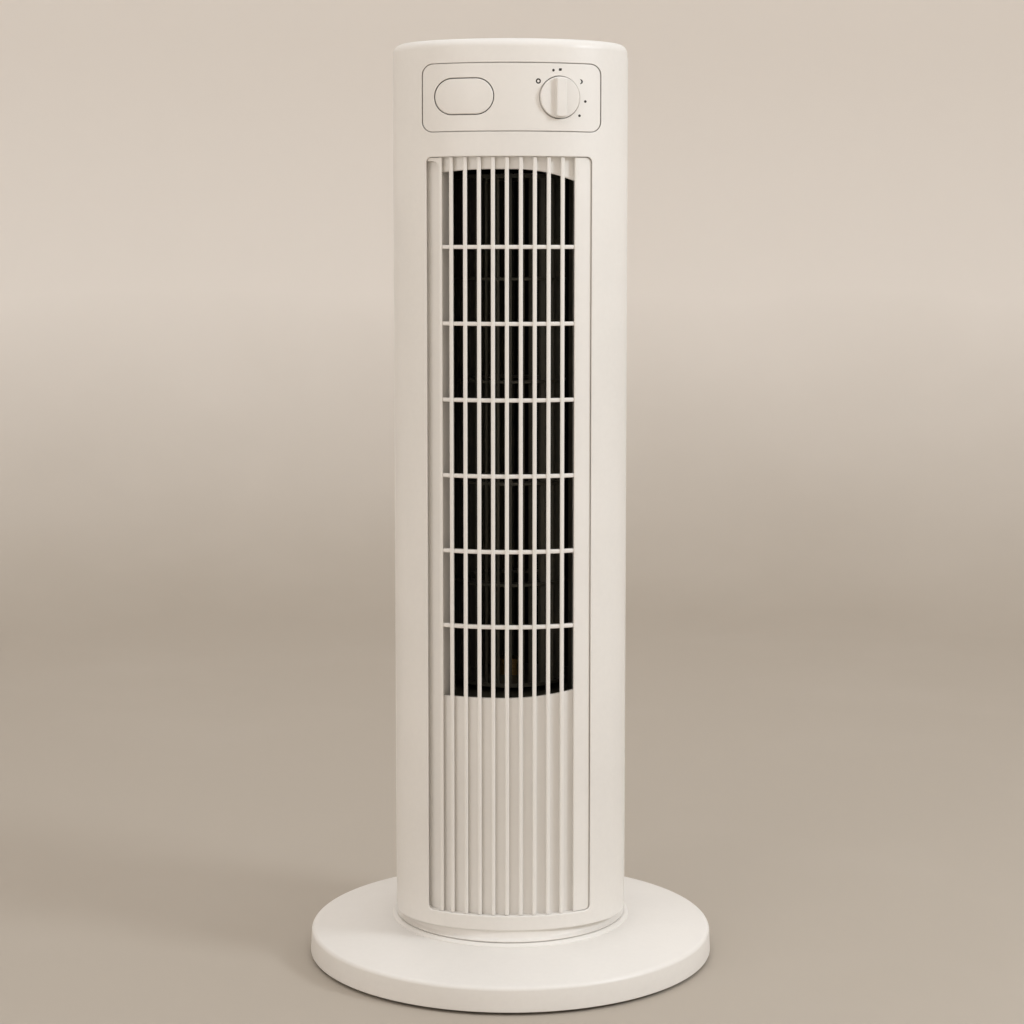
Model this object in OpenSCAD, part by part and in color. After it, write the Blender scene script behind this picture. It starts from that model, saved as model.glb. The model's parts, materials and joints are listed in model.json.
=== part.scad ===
// Oscillating tower fan: a slim column with a cross-flow wheel, standing on a round base.
// Z is up, the front faces -Y, and the origin is on the floor under the middle of the base.

/* [Overall] */
// Height of the whole fan
total_h = 750; // [740:1:770]
// Diameter of the base at its foot
base_d = 336; // [330:2:350]
// Height of the gap's upper edge, where the column starts
column_z = 42.4; // [42:0.1:44]

/* [Column outline] */
// Width of the front shell
column_w = 188; // [186:1:192]
// Depth of the curved front, from the widest line forwards
front_bulge = 68; // [64:1:70]
// Distance from the axis forwards to the widest line of the front
front_set = 24; // [22:1:26]
// Depth of the curved back, from the widest line rearwards
rear_bulge = 80; // [78:1:84]
// Distance from the axis back to the widest line of the rear
rear_set = 14; // [12:1:16]
// Wall of the two shells
wall = 2.5; // [2:0.1:2.8]
// Step by which the rear shell stands proud of the front one at the seam
seam_step = 1.2; // [0.8:0.1:1.6]
// Radius of the edge round the top
top_round = 7; // [5:0.5:8]

/* [Control panel] */
// Width of the panel
panel_w = 139.2; // [137:0.2:142]
// Sideways place of the panel's middle
panel_x = 1; // [0:0.1:1.2]
// Height of the panel
panel_h = 52; // [50:1:54]
// Height of the panel's middle above the floor
panel_z = 704.5; // [702:0.1:706]
// Groove round the panel
panel_gap = 0.7; // [0.5:0.1:1]
// Width of the push button
button_w = 46; // [44:0.2:48]
// Height of the push button
button_h = 27.8; // [26:0.2:29]
// Sideways place of the push button
button_x = -36; // [-38:0.5:-35]
// Travel of the push button
button_travel = 2.5; // [2:0.1:3]
// Diameter of the knob
knob_d = 32; // [31:0.5:33]
// Sideways place of the knob
knob_x = 38.4; // [37:0.2:39]
// Radius of the ring of marks round the knob
mark_ring = 21.4; // [21:0.1:22]

/* [Grille] */
// Width of the recess
recess_w = 129.8; // [129:0.2:132]
// Sideways place of the recess's middle
recess_x = -1; // [-1.2:0.1:0]
// Height of the recess's lower edge
recess_z0 = 54.4; // [53:0.1:56]
// Height of the recess's upper edge
recess_z1 = 658.8; // [657:0.1:660]
// Depth of the recess down to the floor between the fins
recess_depth = 6.5; // [6:0.5:8]
// Distance from the shell's face back to the fins' front edges
fin_set = 1.8; // [1.4:0.1:2.4]
// Depth of a fin from front to back
fin_depth = 10; // [9:0.5:11]
// Distance from the shell's face back to the cross bars
bar_set = 3; // [2.6:0.1:3.4]
// Number of upright fins
fin_count = 11; // [9:1:12]
// Thickness of a fin
fin_t = 3.2; // [3:0.1:3.8]
// Sideways place of the second fin
fin_x = -46.4; // [-47:0.2:-46]
// Distance between the fins from the second one on
fin_pitch = 10.92; // [10.6:0.02:11]
// Distance from the second fin to the first, which is closer
fin_first_gap = 8.6; // [8.4:0.1:9]
// Number of cross bars
bar_count = 6; // [4:1:6]
// Height of the lowest cross bar
bar_z = 287.9; // [286:0.1:290]
// Distance between cross bars
bar_pitch = 60.14; // [58:0.02:61]
// Left edge of the air outlet
outlet_x0 = -54; // [-54.5:0.5:-53]
// Right edge of the air outlet
outlet_x1 = 51.2; // [50:0.2:52]
// Lowest point of the air outlet
outlet_z0 = 230.3; // [228:0.1:231]
// Highest point of the air outlet
outlet_z1 = 649.1; // [647:0.1:650]
// Radius of the outlet's upper right edge, where it curves down
outlet_r = 129; // [126:1:140]

/* [Air mover] */
// Diameter of the cross-flow wheel
wheel_d = 92; // [88:1:94]
// Distance from the pivot axis back to the wheel's axis
wheel_y = 10; // [8:1:12]
// Number of blades
blade_count = 28; // [20:1:32]
// Diameter of the motor shaft
shaft_d = 8; // [7:0.5:8]

/* [Oscillation] */
// Radius of the hollow pivot post
post_r = 12; // [11.5:0.1:12]
// Radial clearance of a shaft in its hole
fit = 0.05; // [0.03:0.01:0.08]
// Swing to each side, in degrees
swing = 32.5; // [28:0.5:32.5]
// Distance from the pivot axis to the sweep motor's shaft
sweep_y = 50; // [49:0.5:50]

/* [Hidden] */
$fn = 64;

ivory = "#E9E4DC";
dark = "#1B1B19";
steel = "#A9ABAD";
brass = "#B9975B";
copper = "#B06A3B";
grey = "#6F7072";

eps = 0.01;
half_w = column_w / 2;
base_r = base_d / 2;
seam_y = -14;
arc_step = 4;
shell_z1 = total_h - top_round - 2;

// base levels
foot_h = 2.5;
plate_z = 2.5;
plate_t = 2.5;
deck_z = plate_z + plate_t;
rim_z = 21.7;
rim_r = base_r - 1.4;
deck_rise_z = 31;
collar_r = 99;
collar_z = 33.6;
well_r = 86;
neck_r = 95.4;
neck_in_r = 84.5;
neck_z = 34;
cover_t = 3;
base_screw_r = 146;
base_screw_count = 6;
foot_count = 5;
foot_r = 9;
foot_ring_r = 152;
gland_r = 5;
gland_l = 15;
gland_z = 10.4;
cord_r = 3.6;

// pivot and sweep levels
hub_r = 17;
hub_z0 = 10.3;
hub_z1 = 58;
post_top = 72;
post_bore_r = 8;
post_flange_r = 34;
crank_r = sweep_y * sin(swing);
yoke_z0 = 21;
yoke_t = 4;
crank_pin_r = 3;
crank_z = 28;
crank_t = 4;
sweep_shaft_r = 3.5;
sweep_can_r = 25;
sweep_can_h = 18;
sweep_ear_x = 29;
web_z = 38.4;
floor_t = 2.5;
floor_z1 = column_z + floor_t;

// panel and controls
knob_r = knob_d / 2;
knob_z = panel_z - 0.1;
button_z = panel_z + 0.7;
panel_r = 8;
panel_lap = 3.2;
knob_well = 5;
knob_proud = 1.6;
ridge_w = 8.6;
ridge_h = 5.6;
spindle_r = 3;
bracket_y = -60;
mark_t = 0.3;

// recess of the grille
recess_zc = (recess_z0 + recess_z1) / 2;
recess_h = recess_z1 - recess_z0;
recess_r = 4;
skirt_t = 1.8;

// air mover levels
wheel_r = wheel_d / 2;
wheel_z0 = 229;
wheel_z1 = 647;
duct_z0 = 222;
duct_z1 = 652;
plate_duct_t = 2;
motor_z0 = 92;
motor_z1 = 148;
motor_r = 40;
bracket_z = 152;
bracket_t = 3;
pin_r = 3;
shaft_r = shaft_d / 2;

screw_z = [96, 300, 505, 712];
screw_x = 84;

// ---------- shared geometry ----------

// Point of a half-ellipse of the column's outline, moved out along its normal.
function rim_point(t, depth, y0, out) =
    let (n = norm([depth * cos(t), half_w * sin(t)]))
    [half_w * cos(t) + out * depth * cos(t) / n,
     y0 + depth * sin(t) + out * half_w * sin(t) / n];

// The column's outline, seen from above, moved outwards by out.
function outline(out) = concat(
    [for (t = [0 : arc_step : 180]) rim_point(t, rear_bulge, rear_set, out)],
    [for (t = [180 : arc_step : 360]) rim_point(t, front_bulge, -front_set, out)]
);

// Where the front face lies at a sideways place, and which way it faces there.
function face_y(x) = -front_set - front_bulge * sqrt(1 - pow(x / half_w, 2));
function face_turn(x) =
    atan2(x / pow(half_w, 2), -(face_y(x) + front_set) / pow(front_bulge, 2));

// A rectangle with round corners, centred, as a list of points.
function soft_rect(w, h, r, n = 6) = [
    for (q = [0 : 3]) for (k = [0 : n])
        let (a = 90 * (q + k / n), sx = (q == 0 || q == 3) ? 1 : -1, sy = q < 2 ? 1 : -1)
        [sx * (w / 2 - r) + r * cos(a), sy * (h / 2 - r) + r * sin(a)]
];

function arc(cx, cy, r, a0, a1, n) = [
    for (k = [0 : n]) let (a = a0 + (a1 - a0) * k / n) [cx + r * cos(a), cy + r * sin(a)]
];

module slab(out, z0, z1) {
    translate([0, 0, z0]) linear_extrude(z1 - z0) polygon(outline(out));
}

module band(outer, inner, z0, z1) {
    translate([0, 0, z0]) linear_extrude(z1 - z0) difference() {
        polygon(outline(outer));
        polygon(outline(inner));
    }
}

// A flat outline in X and Z, pushed along Y from y0 to y1.
module through_y(points, z, y0, y1) {
    translate([0, y1, z]) rotate([90, 0, 0]) linear_extrude(y1 - y0) polygon(points);
}

// Children drawn flat in X and Y, standing out of the front face at a sideways place.
module on_face(x, z) {
    translate([x, face_y(x), z]) rotate([90, 0, face_turn(x)]) children();
}

module ring(r_out, r_in, z0, z1) {
    translate([0, 0, z0]) difference() {
        cylinder(r = r_out, h = z1 - z0);
        translate([0, 0, -1]) cylinder(r = r_in, h = z1 - z0 + 2);
    }
}

module box(x0, x1, y0, y1, z0, z1) {
    translate([x0, y0, z0]) cube([x1 - x0, y1 - y0, z1 - z0]);
}

// A pan-head screw that points down its own -Z, its head resting at z = 0.
module screw(head_r, head_h, shank_r, shank_l) {
    difference() {
        union() {
            cylinder(r = head_r, h = head_h);
            translate([0, 0, -shank_l]) cylinder(r = shank_r, h = shank_l + eps);
        }
        for (a = [0, 90])
            rotate([0, 0, a])
                translate([-head_r * 0.65, -0.4, head_h * 0.45])
                    cube([head_r * 1.3, 0.8, head_h]);
    }
}

// A closed skin through a stack of rings with equal numbers of points.
module loft(rings) {
    n = len(rings[0]);
    m = len(rings);
    polyhedron(
        points = [for (r = rings) for (p = r) p],
        faces = concat(
            [[for (i = [0 : n - 1]) i]],
            [[for (i = [n - 1 : -1 : 0]) (m - 1) * n + i]],
            [for (j = [0 : m - 2]) for (i = [0 : n - 1])
                let (k = (i + 1) % n)
                [j * n + i, (j + 1) * n + i, (j + 1) * n + k, j * n + k]]
        ),
        convexity = 4
    );
}

function lift(points, z) = [for (p = points) [p[0], p[1], z]];

// ---------- base ----------

base_screw_at = [
    for (k = [0 : base_screw_count - 1])
        let (a = 360 / base_screw_count * k)
        [base_screw_r * cos(a), base_screw_r * sin(a)]
];

module base_cover() {
    color(ivory) difference() {
        union() {
            rotate_extrude($fn = 128) polygon(concat(
                [[base_r, plate_z], [rim_r + 0.4, rim_z - 3.4]],
                arc(rim_r - 3.2, rim_z - 3.4, 3.4, 12, 84, 6),
                [[collar_r, deck_rise_z], [well_r, deck_rise_z],
                 [well_r, deck_rise_z - 5], [well_r + 2.5, deck_rise_z - 5],
                 [well_r + 2.5, deck_rise_z - cover_t], [collar_r, deck_rise_z - cover_t],
                 [rim_r - 5, rim_z - cover_t], [base_r - 3, plate_z]]
            ));
            for (p = base_screw_at)
                translate([p[0], p[1], deck_z]) cylinder(r = 4.5, h = 16.5);
        }
        for (p = base_screw_at)
            translate([p[0], p[1], deck_z - 1]) cylinder(r = 1.6, h = 10);
        translate([0, base_r - 18, gland_z]) rotate([-90, 0, 0]) cylinder(r = gland_r + 0.1, h = 30);
    }
}

module base_plate() {
    color(grey) difference() {
        translate([0, 0, plate_z]) cylinder(r = base_r - 4, h = plate_t, $fn = 128);
        translate([0, 0, plate_z - 1]) cylinder(r = post_bore_r, h = plate_t + 2);
        for (p = base_screw_at) {
            translate([p[0], p[1], plate_z - 1]) cylinder(r = 1.9, h = plate_t + 2);
            translate([p[0], p[1], plate_z - 1]) cylinder(r = 4, h = 2.2);
        }
        for (a = [45 : 90 : 315])
            rotate([0, 0, a]) translate([27, 0, plate_z - 1]) cylinder(r = 1.6, h = 5);
        for (k = [0 : foot_count - 1])
            rotate([0, 0, 90 + 36 + 72 * k]) translate([foot_ring_r, 0, plate_z - 1])
                cylinder(r = 3, h = plate_t + 2);
    }
}

module base_weight() {
    color(steel) difference() {
        ring(134, 96, deck_z, deck_z + 5);
        for (a = [0 : 120 : 240])
            rotate([0, 0, a + 30]) translate([115, 0, 0]) cylinder(r = 3, h = 20);
    }
}

module rubber_feet() {
    color(dark)
        for (k = [0 : foot_count - 1])
            rotate([0, 0, 90 + 36 + 72 * k]) translate([foot_ring_r, 0, 0]) {
                cylinder(r1 = foot_r - 0.8, r2 = foot_r, h = 1);
                translate([0, 0, 1 - eps]) cylinder(r = foot_r, h = foot_h - 1 + eps);
                translate([0, 0, foot_h - eps]) cylinder(r = 2.9, h = 4.5);
            }
}

module base_screws() {
    color(steel)
        for (p = base_screw_at)
            translate([p[0], p[1], plate_z + 1.2]) rotate([180, 0, 0]) screw(3.2, 1.1, 1.5, 9);
}

module cord_inlet() {
    color(dark) translate([0, base_r - 16, gland_z]) rotate([-90, 0, 0]) difference() {
        union() {
            cylinder(r = gland_r, h = gland_l);
            cylinder(r = gland_r + 0.05, h = 3);
        }
        translate([0, 0, -1]) cylinder(r = cord_r, h = gland_l + 2);
    }
}

module collar_ring() {
    color(ivory) rotate_extrude($fn = 128) polygon([
        [well_r + 0.5, deck_rise_z], [collar_r + 0.2, deck_rise_z], [collar_r, deck_rise_z + 0.8],
        [collar_r - 2.4, collar_z], [well_r + 0.5, collar_z]
    ]);
}

module pivot_post() {
    color(steel) difference() {
        union() {
            translate([0, 0, deck_z]) cylinder(r = post_flange_r, h = 3.5);
            translate([0, 0, deck_z]) cylinder(r = post_r, h = post_top - deck_z);
        }
        translate([0, 0, deck_z - 1]) cylinder(r = post_bore_r, h = post_top);
        for (a = [45 : 90 : 315])
            rotate([0, 0, a]) translate([27, 0, deck_z - 1]) cylinder(r = 1.8, h = 6);
    }
}

module post_screws() {
    color(steel)
        for (a = [45 : 90 : 315])
            rotate([0, 0, a]) translate([27, 0, deck_z + 3.5]) screw(3, 1.4, 1.5, 5);
}

module thrust_washer() {
    color(ivory) ring(18, post_r + 0.4, deck_z + 3.5, hub_z0 - 0.3);
}

module sweep_yoke() {
    color(steel) difference() {
        union() {
            box(-9, 9, hub_r + 1, 83, yoke_z0, yoke_z0 + yoke_t);
            box(-9, 9, 38, 44, deck_z, yoke_z0 + eps);
            box(-9, 9, 76, 83, deck_z, yoke_z0 + eps);
        }
        box(-3.3, 3.3, sweep_y - crank_r - 3.6, sweep_y + crank_r + 3.3, yoke_z0 - 6, crank_z);
    }
}

module retaining_ring() {
    color(steel) difference() {
        ring(20, post_r + 0.02, hub_z1 + 0.8, hub_z1 + 5);
        translate([0, 0, hub_z1 + 3]) rotate([0, 90, 0]) cylinder(r = 1.25, h = 30);
    }
}

// ---------- column: shells ----------

module turntable() {
    color(ivory) difference() {
        union() {
            rotate_extrude($fn = 128) polygon(concat(
                [[neck_in_r, column_z], [neck_in_r, neck_z], [neck_r, neck_z], [neck_r, neck_z + 1]],
                arc(neck_r + 12, column_z + 2, 17, 208, 191, 5),
                [[neck_r - 4.6, column_z]]
            ));
            translate([0, 0, web_z]) cylinder(r = neck_in_r + 1, h = column_z - web_z);
            translate([0, 0, hub_z0]) cylinder(r = hub_r, h = hub_z1 - hub_z0);
        }
        translate([0, 0, hub_z0 - 1]) cylinder(r = post_r + fit, h = hub_z1);
        translate([0, sweep_y, web_z - 1]) cylinder(r = 6, h = 10);
        for (s = [-1, 1])
            translate([s * sweep_ear_x, sweep_y, web_z - 1]) cylinder(r = 1.6, h = 10);
    }
}

module column_floor() {
    color(ivory) difference() {
        union() {
            slab(-wall - 0.4, column_z, floor_z1);
            band(-wall - 0.4, -wall - 2.4, floor_z1 - eps, floor_z1 + 7);
        }
        translate([0, 0, column_z - 1]) cylinder(r = hub_r + 0.2, h = 10);
        translate([0, sweep_y, column_z - 1]) cylinder(r = 6, h = 10);
        for (s = [-1, 1])
            translate([s * sweep_ear_x, sweep_y, column_z - 1]) cylinder(r = 1.6, h = 10);
    }
}

module screw_columns(y0, y1, r) {
    for (z = screw_z) for (s = [-1, 1])
        translate([s * screw_x, y0, z]) rotate([-90, 0, 0]) cylinder(r = r, h = y1 - y0);
}

// The panel's outline, grown by out, pushed along Y from y0.
module panel_prism(out, r, y0) {
    translate([panel_x, 0, 0])
        through_y(soft_rect(panel_w + 2 * out, panel_h + 2 * out, r), panel_z, y0, -40);
}

// The recess's outline, grown by out, pushed along Y.
module recess_prism(out) {
    translate([recess_x, 0, 0])
        through_y(soft_rect(recess_w + 2 * out, recess_h + 2 * out, recess_r + out),
                  recess_zc, -150, -30);
}

module front_shell() {
    color(ivory) difference() {
        union() {
            intersection() {
                band(0, -wall, column_z, shell_z1);
                box(-150, 150, -150, seam_y, 0, total_h);
            }
            intersection() {
                screw_columns(-60, seam_y, 5);
                slab(-wall + 0.5, column_z, shell_z1);
            }
            intersection() {
                band(-wall + 0.5, -recess_depth, column_z, shell_z1);
                recess_prism(skirt_t);
            }
        }
        recess_prism(0);
        panel_prism(0, panel_r + panel_gap, -150);
        screw_columns(-34, seam_y + 1, 1.6);
    }
}

slot_pitch = 12;
slot_h = 6;
slot_count = 35;
slot_z = 229;
slot_w = 134;
rib_h = 3;
filter_t = 2.5;
filter_w = 138;

module rear_shell() {
    color(ivory) difference() {
        union() {
            intersection() {
                difference() {
                    band(seam_step, seam_step - wall, column_z, shell_z1);
                    for (k = [0 : slot_count - 1])
                        box(-slot_w / 2, slot_w / 2, 30, 120,
                            slot_z + slot_pitch * k, slot_z + slot_pitch * k + slot_h);
                    through_y(soft_rect(92.8, 36.8, 9.4), 690, 40, 120);
                }
                box(-150, 150, seam_y, 150, 0, total_h);
            }
            for (x = [-45, -15, 15, 45])
                intersection() {
                    band(seam_step - wall + 0.3, seam_step - wall - rib_h,
                         slot_z - 4, slot_z + slot_pitch * slot_count + 2);
                    box(x - 1.5, x + 1.5, 30, 120, 0, total_h);
                }
            intersection() {
                screw_columns(seam_y, 60, 6);
                slab(seam_step - wall + 0.5, column_z, shell_z1);
            }
        }
        screw_columns(seam_y - 1, seam_y + 12, 1.8);
        screw_columns(seam_y + 6, 100, 4);
    }
}

module shell_screws() {
    color(steel)
        for (z = screw_z) for (s = [-1, 1])
            translate([s * screw_x, seam_y + 6, z]) rotate([-90, 0, 0]) screw(3.6, 2, 1.5, 22);
}

module grip_cup() {
    color(ivory) difference() {
        intersection() {
            through_y(soft_rect(92, 36, 9), 690, 62, 120);
            slab(seam_step - 0.3, 600, total_h);
        }
        through_y(soft_rect(87, 31, 7), 690, 64.5, 130);
    }
}

// A sheet of open foam inside the intake slots, held between the ribs and the duct's ends.
module intake_filter() {
    color(dark) intersection() {
        band(seam_step - wall - rib_h - 0.1, seam_step - wall - rib_h - filter_t, slot_z - 4, duct_z1 - 1);
        box(-filter_w / 2, filter_w / 2, 30, 120, 0, total_h);
    }
}

module top_cap() {
    z0 = shell_z1;
    z1 = total_h - top_round;
    color(ivory) difference() {
        union() {
            loft(concat(
                [lift(outline(0), z0)],
                [for (a = [0 : 15 : 90])
                    lift(outline(-top_round * (1 - cos(a))), z1 + top_round * sin(a))]
            ));
            band(-wall - 0.3, -wall - 2.3, z0 - 5, z0 + 1);
        }
        slab(-wall - 2.3, z0 - 6, total_h - 3);
    }
}

// ---------- grille ----------

fins = concat([fin_x - fin_first_gap], [for (k = [0 : fin_count - 2]) fin_x + fin_pitch * k]);
tray_gap = 0.4;
tray_t = 2.5;
fin_end = 0.4;
bar_h = 3.2;
bar_depth = 4;
last_fin = fins[fin_count - 1];
outlet_flat = [-16, 3];
outlet_left_r = 310;
outlet_low_x = -7;
outlet_low_r = 330;
throat_back = 42;
throat_t = 2;

// The outlet's outline in X and Z: straight sides, a level upper edge that curves down towards
// both sides, and a level lower edge that curves up towards the right.
function outlet_outline() =
    let (
        a_right = asin((outlet_x1 - outlet_flat[1]) / outlet_r),
        a_left = asin((outlet_flat[0] - outlet_x0) / outlet_left_r),
        a_low = asin((outlet_x1 - outlet_low_x) / outlet_low_r)
    )
    concat(
        arc(outlet_flat[1], outlet_z1 - outlet_r, outlet_r, 90 - a_right, 90, 10),
        arc(outlet_flat[0], outlet_z1 - outlet_left_r, outlet_left_r, 90, 90 + a_left, 6),
        [[outlet_x0, outlet_z0]],
        arc(outlet_low_x, outlet_z0 + outlet_low_r, outlet_low_r, 270, 270 + a_low, 8)
    );

// Where a surface lies that is a given depth behind the front face, at a sideways place.
function inset_y(x, depth) = face_y(x) + depth / cos(face_turn(x));

corner_r = 5;
corner_drop = 3;

// The web that rounds off the top of the groove left of the first fin.
function corner_web() =
    let (x0 = recess_x - recess_w / 2, x1 = fins[0] - fin_t / 2, z1 = recess_z1)
    concat(
        [[x0, z1], [x0, z1 - corner_drop]],
        arc(x1 - corner_r, z1 - corner_drop - corner_r, corner_r, 90, 0, 6),
        [[x1 + 0.5, z1 - corner_drop - corner_r], [x1 + 0.5, z1]]
    );

// Two walls that lead the air from the duct to the outlet. The left one opens out at its front.
module throat() {
    y0 = inset_y(outlet_x0, recess_depth + tray_t / 2);
    y1 = inset_y(outlet_x1, recess_depth + tray_t / 2);
    y_back = face_y(outlet_x0) + throat_back;
    left = [[outlet_x0 - throat_t / 2, y0], [outlet_x0 + 7, y0 + 9], [outlet_x0 + 7.6, y_back]];
    right = [[outlet_x1 + throat_t / 2, y1], [outlet_x1, y_back]];
    translate([0, 0, outlet_z0 - 2]) linear_extrude(outlet_z1 - outlet_z0 + 4) {
        polygon(ribbon(left, throat_t));
        polygon(ribbon(right, throat_t));
    }
}

// The floor between the fins, which closes the recess from behind.
module grille_tray() {
    difference() {
        intersection() {
            band(-recess_depth, -recess_depth - tray_t, recess_z0 - 10, recess_z1 + 10);
            recess_prism(skirt_t);
        }
        through_y(outlet_outline(), 0, -120, -10);
    }
}

module grille_fins() {
    translate([0, 0, recess_z0 + fin_end]) linear_extrude(recess_h - 2 * fin_end) intersection() {
        difference() {
            polygon(outline(-fin_set));
            polygon(outline(-fin_set - fin_depth));
        }
        for (x = fins) translate([x - fin_t / 2, -120]) square([fin_t, 80]);
    }
}

module grille_bars() {
    for (k = [0 : bar_count - 1])
        translate([0, 0, bar_z + bar_pitch * k - bar_h / 2]) linear_extrude(bar_h)
            intersection() {
                difference() {
                    polygon(outline(-bar_set));
                    polygon(outline(-bar_set - bar_depth));
                }
                translate([fins[0], -120]) square([last_fin - fins[0], 80]);
            }
}

module front_grille() {
    color(ivory) {
        grille_tray();
        grille_fins();
        grille_bars();
        intersection() {
            band(-fin_set, -recess_depth - 1, recess_z0 - 1, recess_z1 + 1);
            box(last_fin, recess_x + recess_w / 2, -120, -20, 0, total_h);
            recess_prism(-tray_gap);
        }
        intersection() {
            band(-fin_set, -recess_depth - 1, 600, recess_z1 + 1);
            through_y(corner_web(), 0, -120, -30);
            recess_prism(-tray_gap);
        }
        throat();
    }
}

// ---------- control panel ----------

module control_panel() {
    color(ivory) difference() {
        union() {
            intersection() {
                band(0, -wall - 0.3, panel_z - 40, panel_z + 40);
                panel_prism(-panel_gap, panel_r, -120);
            }
            intersection() {
                band(-wall - 0.3, -wall - 2.3, panel_z - 40, panel_z + 40);
                panel_prism(panel_lap, panel_r + panel_lap, -120);
            }
            on_face(knob_x, knob_z) translate([0, 0, -knob_well - 2])
                cylinder(r = knob_r + 2.4, h = knob_well + 1.2);
        }
        on_face(knob_x, knob_z) {
            translate([0, 0, -knob_well]) cylinder(r = knob_r + 0.7, h = 20);
            translate([0, 0, -20]) cylinder(r = spindle_r + 0.6, h = 30);
        }
        button_prism(1, -120, -40);
        intersection() {
            band(1, -mark_t, panel_z - 40, panel_z + 40);
            mark_shapes();
        }
    }
}

// The button's outline, grown by out, pushed along Y.
module button_prism(out, y0, y1) {
    translate([button_x, 0, 0])
        through_y(soft_rect(button_w + out, button_h + out, (button_h + out) / 2 - eps, 12),
                  button_z, y0, y1);
}

module push_button() {
    color(ivory) {
        intersection() {
            band(0.5, -5.5, button_z - 30, button_z + 30);
            button_prism(-0.4, -120, -40);
        }
        translate([button_x, face_y(button_x) + 4.5, button_z]) rotate([-90, 0, 0])
            cylinder(r = 6.5, h = 4.5);
        translate([button_x, face_y(button_x) + 4.5, button_z]) rotate([-90, 0, 0])
            cylinder(r = 3, h = 9.5);
    }
}

spring_y0 = face_y(button_x) + 9;
spring_y1 = bracket_y - 12;
spring_turns = 3;
spring_r = 5;
spring_wire = 0.4;

module button_spring() {
    steps = 16;
    spring_len = spring_y1 - spring_y0;
    color(steel) translate([button_x, spring_y0 + spring_wire, button_z]) rotate([-90, 0, 0])
        loft([
            for (k = [0 : steps * spring_turns])
                let (a = 360 * k / steps, z = (spring_len - 2 * spring_wire) * k / (steps * spring_turns))
                [for (q = [0 : 60 : 300])
                    [(spring_r + spring_wire * cos(q)) * cos(a),
                     (spring_r + spring_wire * cos(q)) * sin(a),
                     z - spring_wire * sin(q)]]
        ]);
}

module speed_knob() {
    color(ivory) on_face(knob_x, knob_z) difference() {
        union() {
            translate([0, 0, -knob_well + 0.6]) cylinder(r = knob_r, h = knob_well + knob_proud - 0.6);
            intersection() {
                cylinder(r = knob_r - 0.6, h = ridge_h);
                translate([-ridge_w / 2, -knob_r, 0]) cube([ridge_w, knob_d, ridge_h]);
            }
        }
        translate([0, 0, -20]) cylinder(r = spindle_r + 0.02, h = 24);
    }
}

module switch_spindle() {
    color(steel) on_face(knob_x, knob_z) translate([0, 0, -22]) cylinder(r = spindle_r, h = 25.5);
}

// The outlines of the marks round the knob: a ring, a dot, a square, a crescent and two dots.
module mark_shapes() {
    on_face(knob_x, knob_z) translate([0, 0, -4]) linear_extrude(8) {
        mark_at(145) difference() {
            circle(r = 2.2);
            circle(r = 1.3);
        }
        mark_at(104) circle(r = 1);
        mark_at(89) square(2.4, center = true);
        mark_at(36) difference() {
            circle(r = 2);
            translate([-1.3, -0.6]) circle(r = 1.7);
        }
        mark_at(-7) circle(r = 1);
        mark_at(-40) circle(r = 1);
    }
}

module mark_at(a) {
    translate([mark_ring * cos(a), mark_ring * sin(a)]) children();
}

module dial_marks() {
    color("#4A4038") intersection() {
        band(0, -mark_t, panel_z - 40, panel_z + 40);
        mark_shapes();
    }
}

module switch_bracket() {
    color(steel) difference() {
        union() {
            box(-62, 62, bracket_y, bracket_y + 1.5, panel_z - 20, panel_z + 20);
            for (s = [-1, 1])
                box(s * 61 - 1, s * 61 + 1, face_y(61) + 6.8, bracket_y + 1, panel_z - 12, panel_z + 12);
        }
        on_face(knob_x, knob_z) translate([0, 0, -60]) cylinder(r = 5.2, h = 60);
        translate([button_x, bracket_y - 1, button_z]) rotate([-90, 0, 0]) cylinder(r = 4, h = 5);
    }
}

module rotary_switch() {
    color(dark) on_face(knob_x, knob_z) difference() {
        union() {
            translate([-14, -14, -50]) cube([28, 28, 15]);
            translate([0, 0, -35 - eps]) cylinder(r = 4.8, h = 26);
        }
        translate([0, 0, -23]) cylinder(r = spindle_r + fit, h = 30);
    }
}

module push_switch() {
    color(dark) difference() {
        union() {
            box(button_x - 11, button_x + 11, bracket_y + 1.5, bracket_y + 17, button_z - 8, button_z + 8);
            translate([button_x, bracket_y - 11.5, button_z]) rotate([-90, 0, 0])
                cylinder(r = 3.9, h = 14);
            translate([button_x, bracket_y - 11.9, button_z]) rotate([-90, 0, 0])
                cylinder(r = 6.5, h = 1.4);
        }
        translate([button_x, bracket_y - 13, button_z]) rotate([-90, 0, 0])
            cylinder(r = 3.3, h = 4.5 + button_travel);
    }
}

// ---------- air mover ----------

// A path given a thickness t: its points moved to both sides along their normals.
function side_points(path, d) = [
    for (i = [0 : len(path) - 1])
        let (a = path[max(i - 1, 0)], b = path[min(i + 1, len(path) - 1)], v = b - a, n = norm(v))
        [path[i][0] - v[1] / n * d, path[i][1] + v[0] / n * d]
];
function flip(list) = [for (i = [len(list) - 1 : -1 : 0]) list[i]];
function ribbon(path, t) = concat(side_points(path, t / 2), flip(side_points(path, -t / 2)));

harness_x = -72;
harness_y = 24;

// A floor across the column, cut back in front for the grille and holed for the wires.
module cross_floor(z0, t, axis_hole) {
    difference() {
        slab(-wall - 0.4, z0, z0 + t);
        intersection() {
            band(20, -fin_set - fin_depth - 0.4, z0 - 1, z0 + t + 1);
            box(-recess_w / 2 - skirt_t - 1, recess_w / 2 + skirt_t + 1, -150, -30, 0, total_h);
        }
        translate([0, wheel_y, z0 - 1]) cylinder(r = axis_hole, h = t + 2);
        translate([harness_x, harness_y, z0 - 1]) cylinder(r = 4, h = t + 2);
    }
}

module duct_floor() {
    color(dark) cross_floor(duct_z0, plate_duct_t, 14);
}

module duct_ceiling() {
    color(dark) cross_floor(duct_z1, plate_duct_t, 7);
}

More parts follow.
